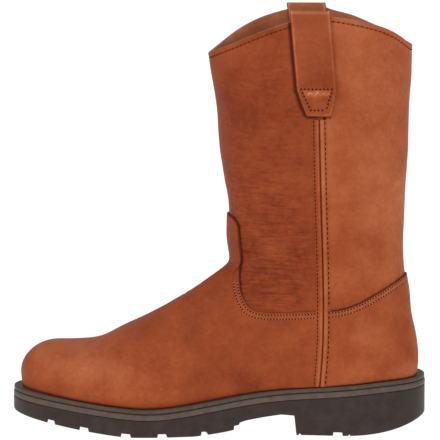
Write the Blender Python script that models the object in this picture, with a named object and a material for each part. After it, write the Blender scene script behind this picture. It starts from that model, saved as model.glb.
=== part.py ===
"""Western work boot, left foot: one moulded lug sole with its heel, a midsole, a welt, an insole,
a hollow lasted upper, the vamp and counter laid over it, two side seam bands and two pull straps.

Metres, +Z up. The toe points towards -X and the outer side of the foot towards -Y.
Lengths along the boot are shares of the sole's length, counted from the heel.
"""
import math

import bmesh
import bpy
import numpy as np

MM = 0.001

# Sizes of the sole
SOLE_LENGTH = 305 * MM
BALL_WIDTH = 107 * MM
HEEL_WIDTH = 75 * MM
WAIST_WIDTH = 71 * MM
TOE_SWING = 4 * MM
HEEL_SEAT_HEIGHT = 33.5 * MM
WAIST_CLEARANCE = 15.2 * MM
HEEL_BEVEL = 12 * MM
TOE_SPRING = 11.3 * MM
LUG_DEPTH = 2.6 * MM
GAP = 0.3 * MM
MIDSOLE_THICKNESS = 4.2 * MM
WELT_THICKNESS = 3.3 * MM
WELT_MARGIN = 13 * MM
INSOLE_THICKNESS = 6 * MM

# Sizes of the upper
COLLAR_HEIGHT = 310 * MM
COLLAR_RISE = 28 * MM
SHAFT_WIDTH = 84 * MM
INSTEP_HEIGHT = 100 * MM
UPPER_INSET = 3.2 * MM
UPPER_TIP = 2.6 * MM
HEEL_TIP = 4.9 * MM
FEATHER_BULGE = 11 * MM
WALL = 2.4 * MM
OVERLAY_THICKNESS = 1.2 * MM
OVERLAY_GAP = 0.4 * MM
BLEND = 8.0
CURVED_TO = 125 * MM
STRAIGHT_FROM = 200 * MM

# Sizes of the seam bands and the pull straps
BAND_WIDTH = 10 * MM
BAND_THICKNESS = 0.9 * MM
BAND_TOP = 0.808
STRAP_WIDTH = 29 * MM
STRAP_END_WIDTH = 15 * MM
STRAP_THICKNESS = 2 * MM
STRAP_TOP = 313 * MM
STRAP_FOOT = 236.5 * MM
STRAP_INNER_FOOT = 256 * MM

# How finely the curved forms are divided
OUTLINE_POINTS = 84
BISECTIONS = 36

# Plan of the sole: share of length, outer half width, inner half width, width they are shares of
PLAN = (
    (0.035, 0.335, 0.335, HEEL_WIDTH),
    (0.14, 0.50, 0.50, HEEL_WIDTH),
    (0.30, 0.51, 0.49, WAIST_WIDTH),
    (0.43, 0.54, 0.46, WAIST_WIDTH),
    (0.55, 0.43, 0.37, BALL_WIDTH),
    (0.66, 0.491, 0.445, BALL_WIDTH),
    (0.75, 0.481, 0.494, BALL_WIDTH),
    (0.85, 0.40, 0.45, BALL_WIDTH),
    (0.93, 0.285, 0.345, BALL_WIDTH),
    (0.98, 0.145, 0.205, BALL_WIDTH),
)

# Top edge of the outsole: share of length, share of the heel seat height
TOP_EDGE = (
    (0.0, 1.0), (0.1, 0.955), (0.2, 0.862), (0.3, 0.79), (0.4, 0.695), (0.5, 0.548),
    (0.58, 0.432), (0.66, 0.372), (0.74, 0.412), (0.82, 0.486), (0.9, 0.566), (1.0, 0.65),
)

# Underside of the waist and tread's back edge: share of length, share of the waist clearance
WAIST_ARCH = (
    (0.308, 0.0), (0.313, 0.95), (0.345, 1.0), (0.39, 0.865), (0.43, 0.72),
    (0.445, 0.62), (0.452, 0.30), (0.48, 0.18), (0.515, 0.08), (0.555, 0.0),
)
HEEL_FLAT_FROM = 0.20
TREAD_FLAT_TO = 0.71

# Grooves between the lugs: share of length, width
TREAD_GROOVES = (
    (0.208, 7.4 * MM), (0.452, 4.4 * MM), (0.530, 4.8 * MM), (0.631, 7.0 * MM),
    (0.719, 7.4 * MM), (0.820, 7.0 * MM), (0.900, 6.2 * MM),
)
CHEVRON = 9 * MM

# Sections across the foot: share of length, top over the feather line as a share of the
# instep height, roundness across, roundness upwards
FOOT = (
    (0.0, 0.30, 2.2, 2.2), (0.12, 0.50, 2.2, 2.2), (0.25, 0.72, 2.1, 2.0), (0.35, 0.90, 2.0, 1.9),
    (0.43, 0.965, 1.9, 1.75), (0.48, 0.935, 1.85, 1.7), (0.53, 0.858, 1.85, 1.7),
    (0.58, 0.78, 1.9, 1.75), (0.63, 0.705, 1.95, 1.85), (0.68, 0.62, 2.05, 2.0),
    (0.74, 0.515, 2.2, 2.15), (0.79, 0.42, 2.3, 2.3), (0.84, 0.373, 2.4, 2.4),
    (0.90, 0.353, 2.45, 2.4), (1.0, 0.335, 2.45, 2.4),
)
TOE_ROUND = 29 * MM
HEEL_ROUND = 30 * MM

# Level sections of the shaft: share of the collar height, front and back as shares of length,
# width as a share of the shaft width, roundness
SHAFT = (
    (0.10, 0.44, 0.0235, 0.78, 2.1), (0.16, 0.43, 0.0245, 0.80, 2.1), (0.22, 0.41, 0.027, 0.815, 2.1),
    (0.28, 0.41, 0.036, 0.81, 2.1), (0.34, 0.43, 0.0465, 0.80, 2.1), (0.40, 0.463, 0.0535, 0.80, 2.1),
    (0.46, 0.479, 0.0545, 0.83, 2.1), (0.53, 0.478, 0.053, 0.88, 2.1), (0.60, 0.489, 0.0505, 0.925, 2.1),
    (0.68, 0.501, 0.046, 0.96, 2.1), (0.78, 0.510, 0.042, 0.985, 2.1), (0.88, 0.525, 0.0385, 1.0, 2.1),
    (1.04, 0.545, 0.036, 1.0, 2.1),
)

# Paths of the rings in side view: share from sole to collar, front end's length and height,
# back end's height, dip behind the front end, all as shares of the length or collar height
RINGS = (
    (0.00, 0.985, 0.097, 0.135, 0.0), (0.04, 0.992, 0.132, 0.161, 0.0), (0.08, 0.982, 0.174, 0.187, 0.016),
    (0.12, 0.949, 0.200, 0.213, 0.035), (0.17, 0.887, 0.211, 0.245, 0.058), (0.23, 0.818, 0.216, 0.284, 0.065),
    (0.29, 0.746, 0.245, 0.323, 0.065), (0.35, 0.674, 0.277, 0.365, 0.058), (0.41, 0.608, 0.313, 0.410, 0.045),
    (0.47, 0.543, 0.355, 0.455, 0.029), (0.52, 0.490, 0.394, 0.494, 0.013), (0.57, 0.477, 0.445, 0.535, 0.0),
    (0.63, 0.480, 0.510, 0.587, 0.0), (0.70, 0.490, 0.587, 0.655, 0.0), (0.78, 0.503, 0.677, 0.735, 0.0),
    (0.86, 0.513, 0.768, 0.813, 0.0), (0.93, 0.523, 0.845, 0.877, 0.0), (1.00, 0.5295, 0.898, 0.921, 0.0),
)
BACK_REACH = 150 * MM
COLLAR_FRONT = -9 * MM
COLLAR_BACK = 141 * MM

# Rise of the collar over the line between its ends: share from front to back, outer, inner side
COLLAR = (
    (0.0, 0.0, 0.0), (0.04, 0.11, 0.14), (0.1, 0.24, 0.37), (0.2, 0.46, 0.67), (0.3, 0.66, 0.855),
    (0.4, 0.82, 0.97), (0.5, 0.95, 1.03), (0.56, 0.98, 0.98), (0.6, 0.95, 0.90), (0.7, 0.84, 0.74),
    (0.8, 0.69, 0.51), (0.9, 0.46, 0.27), (0.96, 0.22, 0.10), (1.0, 0.0, 0.0),
)

# Side seam: share of the collar height, share of length
SEAM = ((0.10, 0.2555), (0.20, 0.2475), (0.35, 0.2465), (0.60, 0.2535), (0.80, 0.258), (1.04, 0.262))

# Upper edges of the overlays: column from 0 at the front over 1 at the seam to 2 at the back, ring
VAMP_EDGE = (
    (0.0, 0.636), (0.1, 0.633), (0.2, 0.627), (0.28, 0.617), (0.32, 0.603), (0.345, 0.575), (0.37, 0.545),
    (0.42, 0.515), (0.5, 0.482), (0.56, 0.457), (0.62, 0.428), (0.68, 0.40), (0.74, 0.378), (0.82, 0.358),
    (0.9, 0.345), (1.0, 0.33),
)
COUNTER_EDGE = (
    (1.0, 0.33), (1.1, 0.323), (1.2, 0.323), (1.3, 0.331), (1.42, 0.345), (1.58, 0.36), (1.76, 0.372), (2.0, 0.378),
)

# Ring up to which the hidden wall is sunk under the overlays, for each column
SUNK_UP_TO = (
    (0.0, 0.60), (0.15, 0.60), (0.3, 0.565), (0.45, 0.49), (0.6, 0.405), (0.75, 0.345), (0.9, 0.33), (2.0, 0.33),
)
SUNK_OVER = 0.15

# Ring up to which the wall's outer face keeps a little further off the overlays
EASED_UP_TO = 0.35
EASED_OVER = 0.1
WALL_EASE = 0.45 * MM

# Rows of the overlays as shares of their edge's ring, and rows from there on to the collar
OVERLAY_ROWS = (0, 0.06, 0.125, 0.2, 0.28, 0.37, 0.47, 0.58, 0.70, 0.82, 0.93, 1)
SHAFT_ROWS = (0.05, 0.13, 0.23, 0.34, 0.46, 0.58, 0.70, 0.81, 0.91, 0.96, 1)
VAMP_COLUMNS = (0, 0.1, 0.19, 0.26, 0.31, 0.345, 0.38, 0.43, 0.5, 0.58, 0.66, 0.75, 0.84, 0.92, 1)
COUNTER_COLUMNS = (1, 1.1, 1.2, 1.3, 1.4, 1.5, 1.6, 1.7, 1.8, 1.9, 2)

COLOURS = {
    "leather": (0.245, 0.062, 0.022, 1),
    "strap": (0.27, 0.075, 0.03, 1),
    "welt": (0.115, 0.075, 0.05, 1),
    "rubber": (0.034, 0.024, 0.021, 1),
    "insole": (0.30, 0.19, 0.10, 1),
}

for old in list(bpy.data.objects):
    bpy.data.objects.remove(old, do_unlink=True)

boot = bpy.data.collections.new("western_work_boot")
cutters = bpy.data.collections.new("cutters")
bpy.context.scene.collection.children.link(boot)
bpy.context.scene.collection.children.link(cutters)


def spline(at, knots, values):
    """Natural cubic spline through the knots, held flat beyond its two ends."""
    xs = np.asarray(knots, float)
    ys = np.asarray(values, float)
    steps = np.diff(xs)
    matrix = np.eye(len(xs))
    right = np.zeros(len(xs))
    for i in range(1, len(xs) - 1):
        matrix[i, i - 1:i + 2] = steps[i - 1], 2 * (steps[i - 1] + steps[i]), steps[i]
        right[i] = 6 * ((ys[i + 1] - ys[i]) / steps[i] - (ys[i] - ys[i - 1]) / steps[i - 1])
    bend = np.linalg.solve(matrix, right)
    at = np.clip(at, xs[0], xs[-1])
    k = np.clip(np.searchsorted(xs, at, "right") - 1, 0, len(xs) - 2)
    a = at - xs[k]
    b = xs[k + 1] - at
    h = steps[k]
    curve = (bend[k] * b ** 3 + bend[k + 1] * a ** 3) / (6 * h)
    return curve + (ys[k] / h - bend[k] * h / 6) * b + (ys[k + 1] / h - bend[k + 1] * h / 6) * a


def column(table, index):
    """One column of a table as an array."""
    return np.array([row[index] for row in table], float)


def read(table, at, index):
    """Spline through a table's column, read at the given values of its first column."""
    return spline(at, column(table, 0), column(table, index))


def closed_spline(points, count):
    """Smooth closed curve through the points, parameterised by chord length."""
    reach = np.asarray(points, float)
    doubled = np.vstack([reach, reach, reach, reach[:1]])
    chord = np.concatenate([[0], np.cumsum(np.linalg.norm(np.diff(doubled, axis=0), axis=1))])
    start, end = chord[len(reach)], chord[2 * len(reach)]
    at = np.linspace(start, end, count, endpoint=False)
    return np.stack([spline(at, chord, doubled[:, 0]), spline(at, chord, doubled[:, 1])], 1)


def outline(inset, count=OUTLINE_POINTS):
    """Plan of the sole moved inwards by the inset, as points around the loop."""
    right = [(0.5 * SOLE_LENGTH, 0)]
    right += [((0.5 - s) * SOLE_LENGTH, -outer * width) for s, outer, inner, width in PLAN]
    right += [(-0.5 * SOLE_LENGTH, TOE_SWING)]
    left = [((0.5 - s) * SOLE_LENGTH, inner * width) for s, outer, inner, width in PLAN]
    loop = closed_spline(right + left[::-1], count)
    along = np.roll(loop, -1, 0) - np.roll(loop, 1, 0)
    along /= np.linalg.norm(along, axis=1)[:, None]
    outward = np.stack([along[:, 1], -along[:, 0]], 1)
    if np.sum((loop - loop.mean(0)) * outward) < 0:
        outward = -outward
    return loop - outward * inset


FINE = outline(UPPER_INSET, 800)
FINE = np.roll(FINE, -int(FINE[:, 0].argmax()), 0)
TOE_INDEX = int(FINE[:, 0].argmin())
OUTER_SIDE = FINE[:TOE_INDEX + 1][::-1]
INNER_SIDE = np.vstack([FINE[TOE_INDEX:], FINE[:1]])


def sides_of_plan(x):
    """Y of the plan's two sides at x, for the line the upper bulges to."""
    outer = np.interp(x, OUTER_SIDE[:, 0], OUTER_SIDE[:, 1])
    inner = np.interp(x, INNER_SIDE[:, 0], INNER_SIDE[:, 1])
    return outer, inner


def share_of(x):
    return 0.5 - x / SOLE_LENGTH


def top_edge(x):
    """Height of the outsole's top edge."""
    return HEEL_SEAT_HEIGHT * read(TOP_EDGE, share_of(x), 1)


WELT_FOOT = GAP + MIDSOLE_THICKNESS + GAP
FEATHER = WELT_FOOT + WELT_THICKNESS + GAP


def feather_height(x):
    """Height of the line where the upper meets the welt."""
    return top_edge(x) + FEATHER


def underside(share):
    """Height of the sole's underside: heel bevel, flat heel, waist, flat tread and toe spring."""
    if share < HEEL_FLAT_FROM:
        return HEEL_BEVEL * ((HEEL_FLAT_FROM - share) / HEEL_FLAT_FROM) ** 2.3
    if share > TREAD_FLAT_TO:
        return TOE_SPRING * ((share - TREAD_FLAT_TO) / (1 - TREAD_FLAT_TO)) ** 1.25
    return WAIST_CLEARANCE * float(np.interp(share, column(WAIST_ARCH, 0), column(WAIST_ARCH, 1)))


def material(name, colour, roughness):
    made = bpy.data.materials.new(name)
    made.use_nodes = True
    shader = made.node_tree.nodes["Principled BSDF"]
    shader.inputs["Base Color"].default_value = COLOURS[colour]
    shader.inputs["Roughness"].default_value = roughness
    shader.inputs["Metallic"].default_value = 0
    return made


def mesh_object(name, points, faces, group):
    """Mesh object from points and faces, with its normals made consistent."""
    mesh = bpy.data.meshes.new(name)
    mesh.from_pydata([tuple(map(float, p)) for p in points], [], [tuple(map(int, f)) for f in faces])
    shape = bmesh.new()
    shape.from_mesh(mesh)
    bmesh.ops.recalc_face_normals(shape, faces=shape.faces)
    shape.to_mesh(mesh)
    shape.free()
    made = bpy.data.objects.new(name, mesh)
    group.objects.link(made)
    return made


def extrusion(name, loop, direction, group):
    """Flat loop of 3D points pulled along a direction into a closed solid."""
    shape = bmesh.new()
    face = shape.faces.new([shape.verts.new(p) for p in loop])
    pulled = bmesh.ops.extrude_face_region(shape, geom=[face])
    moved = [item for item in pulled["geom"] if isinstance(item, bmesh.types.BMVert)]
    bmesh.ops.translate(shape, verts=moved, vec=direction)
    bmesh.ops.recalc_face_normals(shape, faces=shape.faces)
    mesh = bpy.data.meshes.new(name)
    shape.to_mesh(mesh)
    shape.free()
    made = bpy.data.objects.new(name, mesh)
    group.objects.link(made)
    return made


def as_cutter(item):
    item.hide_render = True
    item.display_type = "WIRE"
    return item


def boolean(item, other, operation):
    """Exact boolean, applied at once."""
    modifier = item.modifiers.new(operation.lower(), "BOOLEAN")
    modifier.operation = operation
    modifier.solver = "EXACT"
    modifier.object = other
    bpy.context.view_layer.objects.active = item
    bpy.ops.object.modifier_apply(modifier=modifier.name)


def plan_prism(name, inset, group):
    """Plan of the sole, moved in by the inset and pulled up past the whole sole."""
    foot = -20 * MM
    loop = [(x, y, foot) for x, y in outline(inset)]
    return extrusion(name, loop, (0, 0, 90 * MM), group)


def side_prism(name, low, high):
    """Side view between a low and a high line, pulled across the sole."""
    half = SOLE_LENGTH / 2 + 2 * MM
    loop = [(x, -BALL_WIDTH, z) for x, z in low] + [(x, -BALL_WIDTH, z) for x, z in high[::-1]]
    loop[0] = (half, *loop[0][1:])
    loop[-1] = (half, *loop[-1][1:])
    loop[len(low) - 1] = (-half, *loop[len(low) - 1][1:])
    loop[len(low)] = (-half, *loop[len(low)][1:])
    return as_cutter(extrusion(name, loop, (0, 2 * BALL_WIDTH, 0), cutters))


def line_over_top_edge(rise):
    """Line at a fixed rise over the outsole's top edge, from the heel to the toe."""
    xs = [(0.5 - s) * SOLE_LENGTH for s in np.linspace(0, 1, 25)]
    return [(x, float(top_edge(x)) + rise) for x in xs]


def layer(name, inset, low, high, paint):
    """One layer of the sole: its plan cut by its side view."""
    made = plan_prism(name, inset, boot)
    boolean(made, side_prism(name + "_side", low, high), "INTERSECT")
    made.data.materials.append(paint)
    return made


leather = material("oiled_leather", "leather", 0.55)
strap_leather = material("strap_leather", "strap", 0.5)
welt_strip = material("welt_strip", "welt", 0.6)
rubber = material("moulded_rubber", "rubber", 0.7)
insole_board = material("insole_board", "insole", 0.8)

# Outsole with its heel, cut from its plan and its side view, then grooved between the lugs
heel_shares = list(np.linspace(0, HEEL_FLAT_FROM, 8)) + [0.25]
toe_shares = list(np.linspace(TREAD_FLAT_TO, 1, 8))
shares = heel_shares + list(column(WAIST_ARCH, 0)) + toe_shares
under = [((0.5 - s) * SOLE_LENGTH, underside(s)) for s in shares]
outsole = layer("outsole", 0, under, line_over_top_edge(0), rubber)

for number, (share, width) in enumerate(TREAD_GROOVES):
    middle = (0.5 - share) * SOLE_LENGTH
    reach = BALL_WIDTH * 0.55
    bend = CHEVRON if share > HEEL_FLAT_FROM * 2 else 0
    front = [(middle + width / 2, -reach), (middle + width / 2 - bend, 0), (middle + width / 2, reach)]
    back = [(x - width, y) for x, y in front[::-1]]
    lift = underside(share) + LUG_DEPTH
    shape = bmesh.new()
    low_ring = [shape.verts.new((x, y, -LUG_DEPTH)) for x, y in front + back]
    high_ring = []
    for x, y in front + back:
        slope = underside(share_of(x)) - underside(share) if share > TREAD_FLAT_TO else 0
        high_ring.append(shape.verts.new((x, y, lift + slope)))
    count = len(low_ring)
    for i in range(count):
        j = (i + 1) % count
        shape.faces.new((low_ring[i], low_ring[j], high_ring[j], high_ring[i]))
    for ring in (low_ring, high_ring):
        shape.faces.new((ring[0], ring[1], ring[4], ring[5]))
        shape.faces.new((ring[1], ring[2], ring[3], ring[4]))
    bmesh.ops.recalc_face_normals(shape, faces=shape.faces)
    mesh = bpy.data.meshes.new("groove")
    shape.to_mesh(mesh)
    shape.free()
    groove = bpy.data.objects.new("groove_%d" % number, mesh)
    cutters.objects.link(groove)
    boolean(outsole, as_cutter(groove), "DIFFERENCE")

# Midsole, welt and insole
midsole = layer("midsole", 0.2 * MM, line_over_top_edge(GAP), line_over_top_edge(GAP + MIDSOLE_THICKNESS), welt_strip)
welt = layer("welt", 0.4 * MM, line_over_top_edge(WELT_FOOT), line_over_top_edge(WELT_FOOT + WELT_THICKNESS), welt_strip)
boolean(welt, as_cutter(plan_prism("welt_hole", WELT_MARGIN, cutters)), "DIFFERENCE")
insole = layer(
    "insole", WELT_MARGIN + GAP, line_over_top_edge(WELT_FOOT),
    line_over_top_edge(WELT_FOOT + INSOLE_THICKNESS), insole_board,
)


def centre_line(x, z):
    """Y of the upper's middle: the plan's middle low down, fading to zero up the shaft."""
    tip = SOLE_LENGTH / 2 - UPPER_TIP
    outer, inner = sides_of_plan(np.clip(x, -tip, tip))
    weight = np.clip((STRAIGHT_FROM - z) / (STRAIGHT_FROM - CURVED_TO), 0, 1)
    return weight * weight * (3 - 2 * weight) * (outer + inner) / 2


def foot_value(x, y, z):
    """Below zero inside the foot: upright sections, flattened towards the toe and heel ends."""
    share = share_of(x)
    height = INSTEP_HEIGHT * read(FOOT, share, 1)
    across = read(FOOT, share, 2)
    upward = read(FOOT, share, 3)
    tip = SOLE_LENGTH / 2 - UPPER_TIP
    outer, inner = sides_of_plan(np.clip(x, -tip, tip))
    middle = centre_line(x, z)
    width = np.maximum((inner - outer) / 2, 0.1 * MM)
    to_toe = (x + tip) / TOE_ROUND
    to_heel = (SOLE_LENGTH / 2 - HEEL_TIP - x) / HEEL_ROUND
    ends = np.maximum(1 - to_toe, 0) ** 8 + np.maximum(1 - to_heel, 0) ** 8
    toe_cap = np.sqrt(1 - (1 - np.clip(to_toe, 0.0005, 1)) ** 2)
    heel_cap = np.sqrt(1 - (1 - np.clip(to_heel, 0.0005, 1)) ** 2)
    rounding = toe_cap * heel_cap
    over = z - feather_height(x) - FEATHER_BULGE
    upper = over / ((height - FEATHER_BULGE) * rounding)
    lower = -over / (26 * MM * rounding)
    return (np.abs(y - middle) / width) ** across + np.where(over > 0, upper, lower) ** upward + ends - 1


def shaft_value(x, y, z):
    """Below zero inside the shaft: level sections."""
    level = z / COLLAR_HEIGHT
    front = (0.5 - read(SHAFT, level, 1)) * SOLE_LENGTH
    back = (0.5 - read(SHAFT, level, 2)) * SOLE_LENGTH
    width = read(SHAFT, level, 3) * SHAFT_WIDTH / 2
    power = read(SHAFT, level, 4)
    along = np.abs(x - (front + back) / 2) / ((back - front) / 2)
    return along ** power + (np.abs(y - centre_line(x, z)) / width) ** power - 1


def upper_value(x, y, z):
    """Smooth union of foot and shaft."""
    foot = np.minimum(foot_value(x, y, z), 8)
    shaft = np.minimum(shaft_value(x, y, z), 8)
    least = np.minimum(foot, shaft)
    return least - np.log(np.exp(-BLEND * (foot - least)) + np.exp(-BLEND * (shaft - least))) / BLEND


def ring_path(along, ring, side):
    """Side view point of a ring: share along it from the front end to the back end."""
    front_x = (0.5 - read(RINGS, ring, 1)) * SOLE_LENGTH
    front_z = read(RINGS, ring, 2) * COLLAR_HEIGHT
    back_z = read(RINGS, ring, 3) * COLLAR_HEIGHT
    dip = np.interp(ring, column(RINGS, 0), column(RINGS, 4)) * COLLAR_HEIGHT
    x = front_x + (BACK_REACH - front_x) * along
    z = front_z + (back_z - front_z) * along
    z = z - dip * np.sign(along) * (1 - np.exp(-np.abs(along) / 0.06)) * (1 - along)
    first_x = (0.5 - RINGS[0][1]) * SOLE_LENGTH
    first_z, last_z = RINGS[0][2] * COLLAR_HEIGHT, RINGS[0][3] * COLLAR_HEIGHT
    straight = first_z + (last_z - first_z) * (x - first_x) / (BACK_REACH - first_x)
    z = z + (1 - ring) ** 4 * (feather_height(x) - straight)
    share = np.clip((x - COLLAR_FRONT) / (COLLAR_BACK - COLLAR_FRONT), 0, 1)
    return x, z + ring ** 7 * COLLAR_RISE * read(COLLAR, share, 1 if side < 0 else 2)


def seam_x(z):
    return (0.5 - read(SEAM, z / COLLAR_HEIGHT, 1)) * SOLE_LENGTH


def ring_marks(rings, side):
    """Shares along each ring of its front end, the side seam and its back end."""
    marks = []
    for outside, inside in ((-0.12, 0.5), (1.12, 0.5)):
        out = np.full(rings.shape, outside)
        held = np.full(rings.shape, inside)
        for _ in range(BISECTIONS):
            trial = (out + held) / 2
            x, z = ring_path(trial, rings, side)
            beyond = upper_value(x, centre_line(x, z), z) > 0
            out = np.where(beyond, trial, out)
            held = np.where(beyond, held, trial)
        marks.append(held)
    low = np.zeros(rings.shape)
    high = np.ones(rings.shape)
    for _ in range(BISECTIONS):
        trial = (low + high) / 2
        x, z = ring_path(trial, rings, side)
        before = x < seam_x(z)
        low = np.where(before, trial, low)
        high = np.where(before, high, trial)
    return marks[0], low, marks[1]


def half_width(x, z, side):
    """Y of the upper's surface on one side, found by halving."""
    middle = centre_line(x, z)
    low = np.zeros_like(x)
    high = np.full_like(x, BALL_WIDTH)
    for _ in range(BISECTIONS):
        trial = (low + high) / 2
        inside = upper_value(x, middle + side * trial, z) < 0
        low = np.where(inside, trial, low)
        high = np.where(inside, high, trial)
    return middle + side * low


def surface(columns, rings, side):
    """Points of the upper's surface for grids of columns and rings on one side."""
    columns, rings = np.broadcast_arrays(columns, rings)
    known = np.unique(rings)
    front, seam, back = (np.interp(rings, known, mark) for mark in ring_marks(known, side))
    before = front + (seam - front) * (1 - np.cos(math.pi / 2 * columns))
    after = back - (back - seam) * (1 - np.cos(math.pi / 2 * (2 - columns)))
    x, z = ring_path(np.where(columns < 1, before, after), rings, side)
    return np.stack([x, half_width(x, z, side), z], -1)


def outward(points):
    """Unit normals of the upper at points of its surface."""
    step = 0.2 * MM
    x, y, z = points[..., 0], points[..., 1], points[..., 2]
    slope = np.stack([
        upper_value(x + step, y, z) - upper_value(x - step, y, z),
        upper_value(x, y + step, z) - upper_value(x, y - step, z),
        upper_value(x, y, z + step) - upper_value(x, y, z - step),
    ], -1)
    return slope / np.linalg.norm(slope, axis=-1)[..., None]


def overlay_edge(columns):
    """Ring at which the overlay ends, for each column."""
    vamp_ring = np.interp(columns, column(VAMP_EDGE, 0), column(VAMP_EDGE, 1))
    counter_ring = np.interp(columns, column(COUNTER_EDGE, 0), column(COUNTER_EDGE, 1))
    return np.where(columns <= 1, vamp_ring, counter_ring)


def sink(columns, rings):
    """How far the hidden wall lies under the foot's outer line, so that the overlay fills it."""
    limit = np.interp(columns, column(SUNK_UP_TO, 0), column(SUNK_UP_TO, 1))
    share = np.clip((limit - rings) / SUNK_OVER, 0, 1)
    return (OVERLAY_GAP + OVERLAY_THICKNESS) * share * share * (3 - 2 * share)


def skin(columns, rings, side, depth):
    """Surface points moved outwards by a depth over the hidden wall."""
    points = surface(columns, rings, side)
    columns, rings = np.broadcast_arrays(columns, rings)
    moved = points + outward(points) * (depth - sink(columns, rings))[..., None]
    lowest = rings == 0
    moved[..., 2] = np.where(lowest, feather_height(moved[..., 0]), moved[..., 2])
    return moved


def grid_solid(name, outer, inner, closed, paint, turned=()):
    """Closed solid between two grids of points; a closed one wraps round its columns.

    The spans named in turned are split along the other diagonal, as the boot's two sides mirror.
    """
    rows, count = outer.shape[:2]
    points = np.vstack([outer.reshape(-1, 3), inner.reshape(-1, 3)])
    shift = rows * count
    faces = []
    spans = count if closed else count - 1
    for i in range(rows - 1):
        for j in range(spans):
            k = (j + 1) % count
            a, b, c, d = i * count + j, i * count + k, (i + 1) * count + k, (i + 1) * count + j
            if j in turned:
                a, b, c, d = b, c, d, a
            faces += [(a, b, c), (a, c, d)]
            faces += [(a + shift, c + shift, b + shift), (a + shift, d + shift, c + shift)]
    for j in range(spans):
        k = (j + 1) % count
        top = (rows - 1) * count
        faces.append((j, j + shift, k + shift, k))
        faces.append((top + j, top + k, top + k + shift, top + j + shift))
    if not closed:
        for i in range(rows - 1):
            a, b = i * count, (i + 1) * count
            faces.append((a, b, b + shift, a + shift))
            a, b = a + count - 1, b + count - 1
            faces.append((a, a + shift, b + shift, b))
    made = mesh_object(name, points, faces, boot)
    made.data.materials.append(paint)
    return made


def both_sides(columns, ring_rows, depth):
    """Grid from the outer side over the front or back to the inner side."""
    outer_part = skin(columns, ring_rows, -1, depth)
    inner_part = skin(columns, ring_rows, 1, depth)
    return outer_part, inner_part


vamp_columns = np.array(VAMP_COLUMNS, float)
counter_columns = np.array(COUNTER_COLUMNS, float)
overlay_rows = np.array(OVERLAY_ROWS, float)[:, None]
shaft_rows = np.array(SHAFT_ROWS, float)[:, None]


def overlay_rings(columns):
    """Rings of an overlay's rows, for each column, up to its edge."""
    return overlay_rows * overlay_edge(columns)[None, :]


# Upper: one hollow wall, open at the collar and under the foot
around = np.concatenate([vamp_columns, counter_columns[1:]])
edge_line = overlay_edge(around)[None, :]
upper_rings = np.vstack([overlay_rings(around), edge_line + shaft_rows * (1 - edge_line)])


def upper_grid(depth):
    outer_part, inner_part = both_sides(around[None, :], upper_rings, depth)
    return np.concatenate([outer_part, inner_part[:, -2:0:-1]], 1)


inner_spans = range(len(around) - 1, 2 * len(around) - 2)
ease = WALL_EASE * np.clip((EASED_UP_TO - upper_rings) / EASED_OVER, 0, 1)
upper = grid_solid("upper", upper_grid(-ease), upper_grid(-WALL), True, leather, inner_spans)


def overlay_grid(columns, depth, seam_shift):
    """Grids of an overlay on both sides, with its seam edge moved off the seam."""
    parts = both_sides(columns[None, :], overlay_rings(columns), depth)
    for part in parts:
        part[:, columns == 1, 0] += seam_shift
    return parts


def vamp_grid(depth):
    outer_part, inner_part = overlay_grid(vamp_columns, depth, -GAP / 2)
    return np.concatenate([inner_part[:, :0:-1], outer_part], 1)


def counter_grid(depth):
    outer_part, inner_part = overlay_grid(counter_columns, depth, GAP / 2)
    return np.concatenate([outer_part, inner_part[:, -2::-1]], 1)


# Vamp over the forefoot and the tongue, counter round the heel
overlay_top = OVERLAY_GAP + OVERLAY_THICKNESS
vamp_spans = range(len(vamp_columns) - 1)
vamp = grid_solid("vamp", vamp_grid(overlay_top), vamp_grid(OVERLAY_GAP), False, leather, vamp_spans)
counter_spans = range(len(counter_columns) - 1, 2 * len(counter_columns) - 2)
counter = grid_solid("counter", counter_grid(overlay_top), counter_grid(OVERLAY_GAP), False, leather, counter_spans)


def wall_points(x, z, side, depth):
    """Points at a depth over the upper's surface, for side view points."""
    points = np.stack([x, half_width(x, z, side), z], -1)
    return points + outward(points) * np.asarray(depth)[..., None]


# Side seam bands, over the seam from the welt to the foot of the pull strap
band_rings = np.concatenate([np.linspace(0.02, 0.30, 8), [0.335, 0.35], np.linspace(0.38, BAND_TOP, 8)])
band_across = np.linspace(-0.5, 0.5, 3) * BAND_WIDTH
for side, name in ((-1, "side_seam_lateral"), (1, "side_seam_medial")):
    seam_points = surface(np.ones_like(band_rings), band_rings, side)
    x = seam_points[:, None, 0] + band_across[None, :]
    z = seam_points[:, None, 2] + 0 * x
    on_overlay = np.clip((0.35 - band_rings) / 0.015, 0, 1)
    over = (OVERLAY_GAP + OVERLAY_THICKNESS) * on_overlay - sink(np.ones_like(band_rings), band_rings)
    floor = (over + GAP)[:, None] + 0 * x
    top_grid = wall_points(x, z, side, floor + BAND_THICKNESS)
    grid_solid(name, top_grid, wall_points(x, z, side, floor), False, leather)


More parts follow.
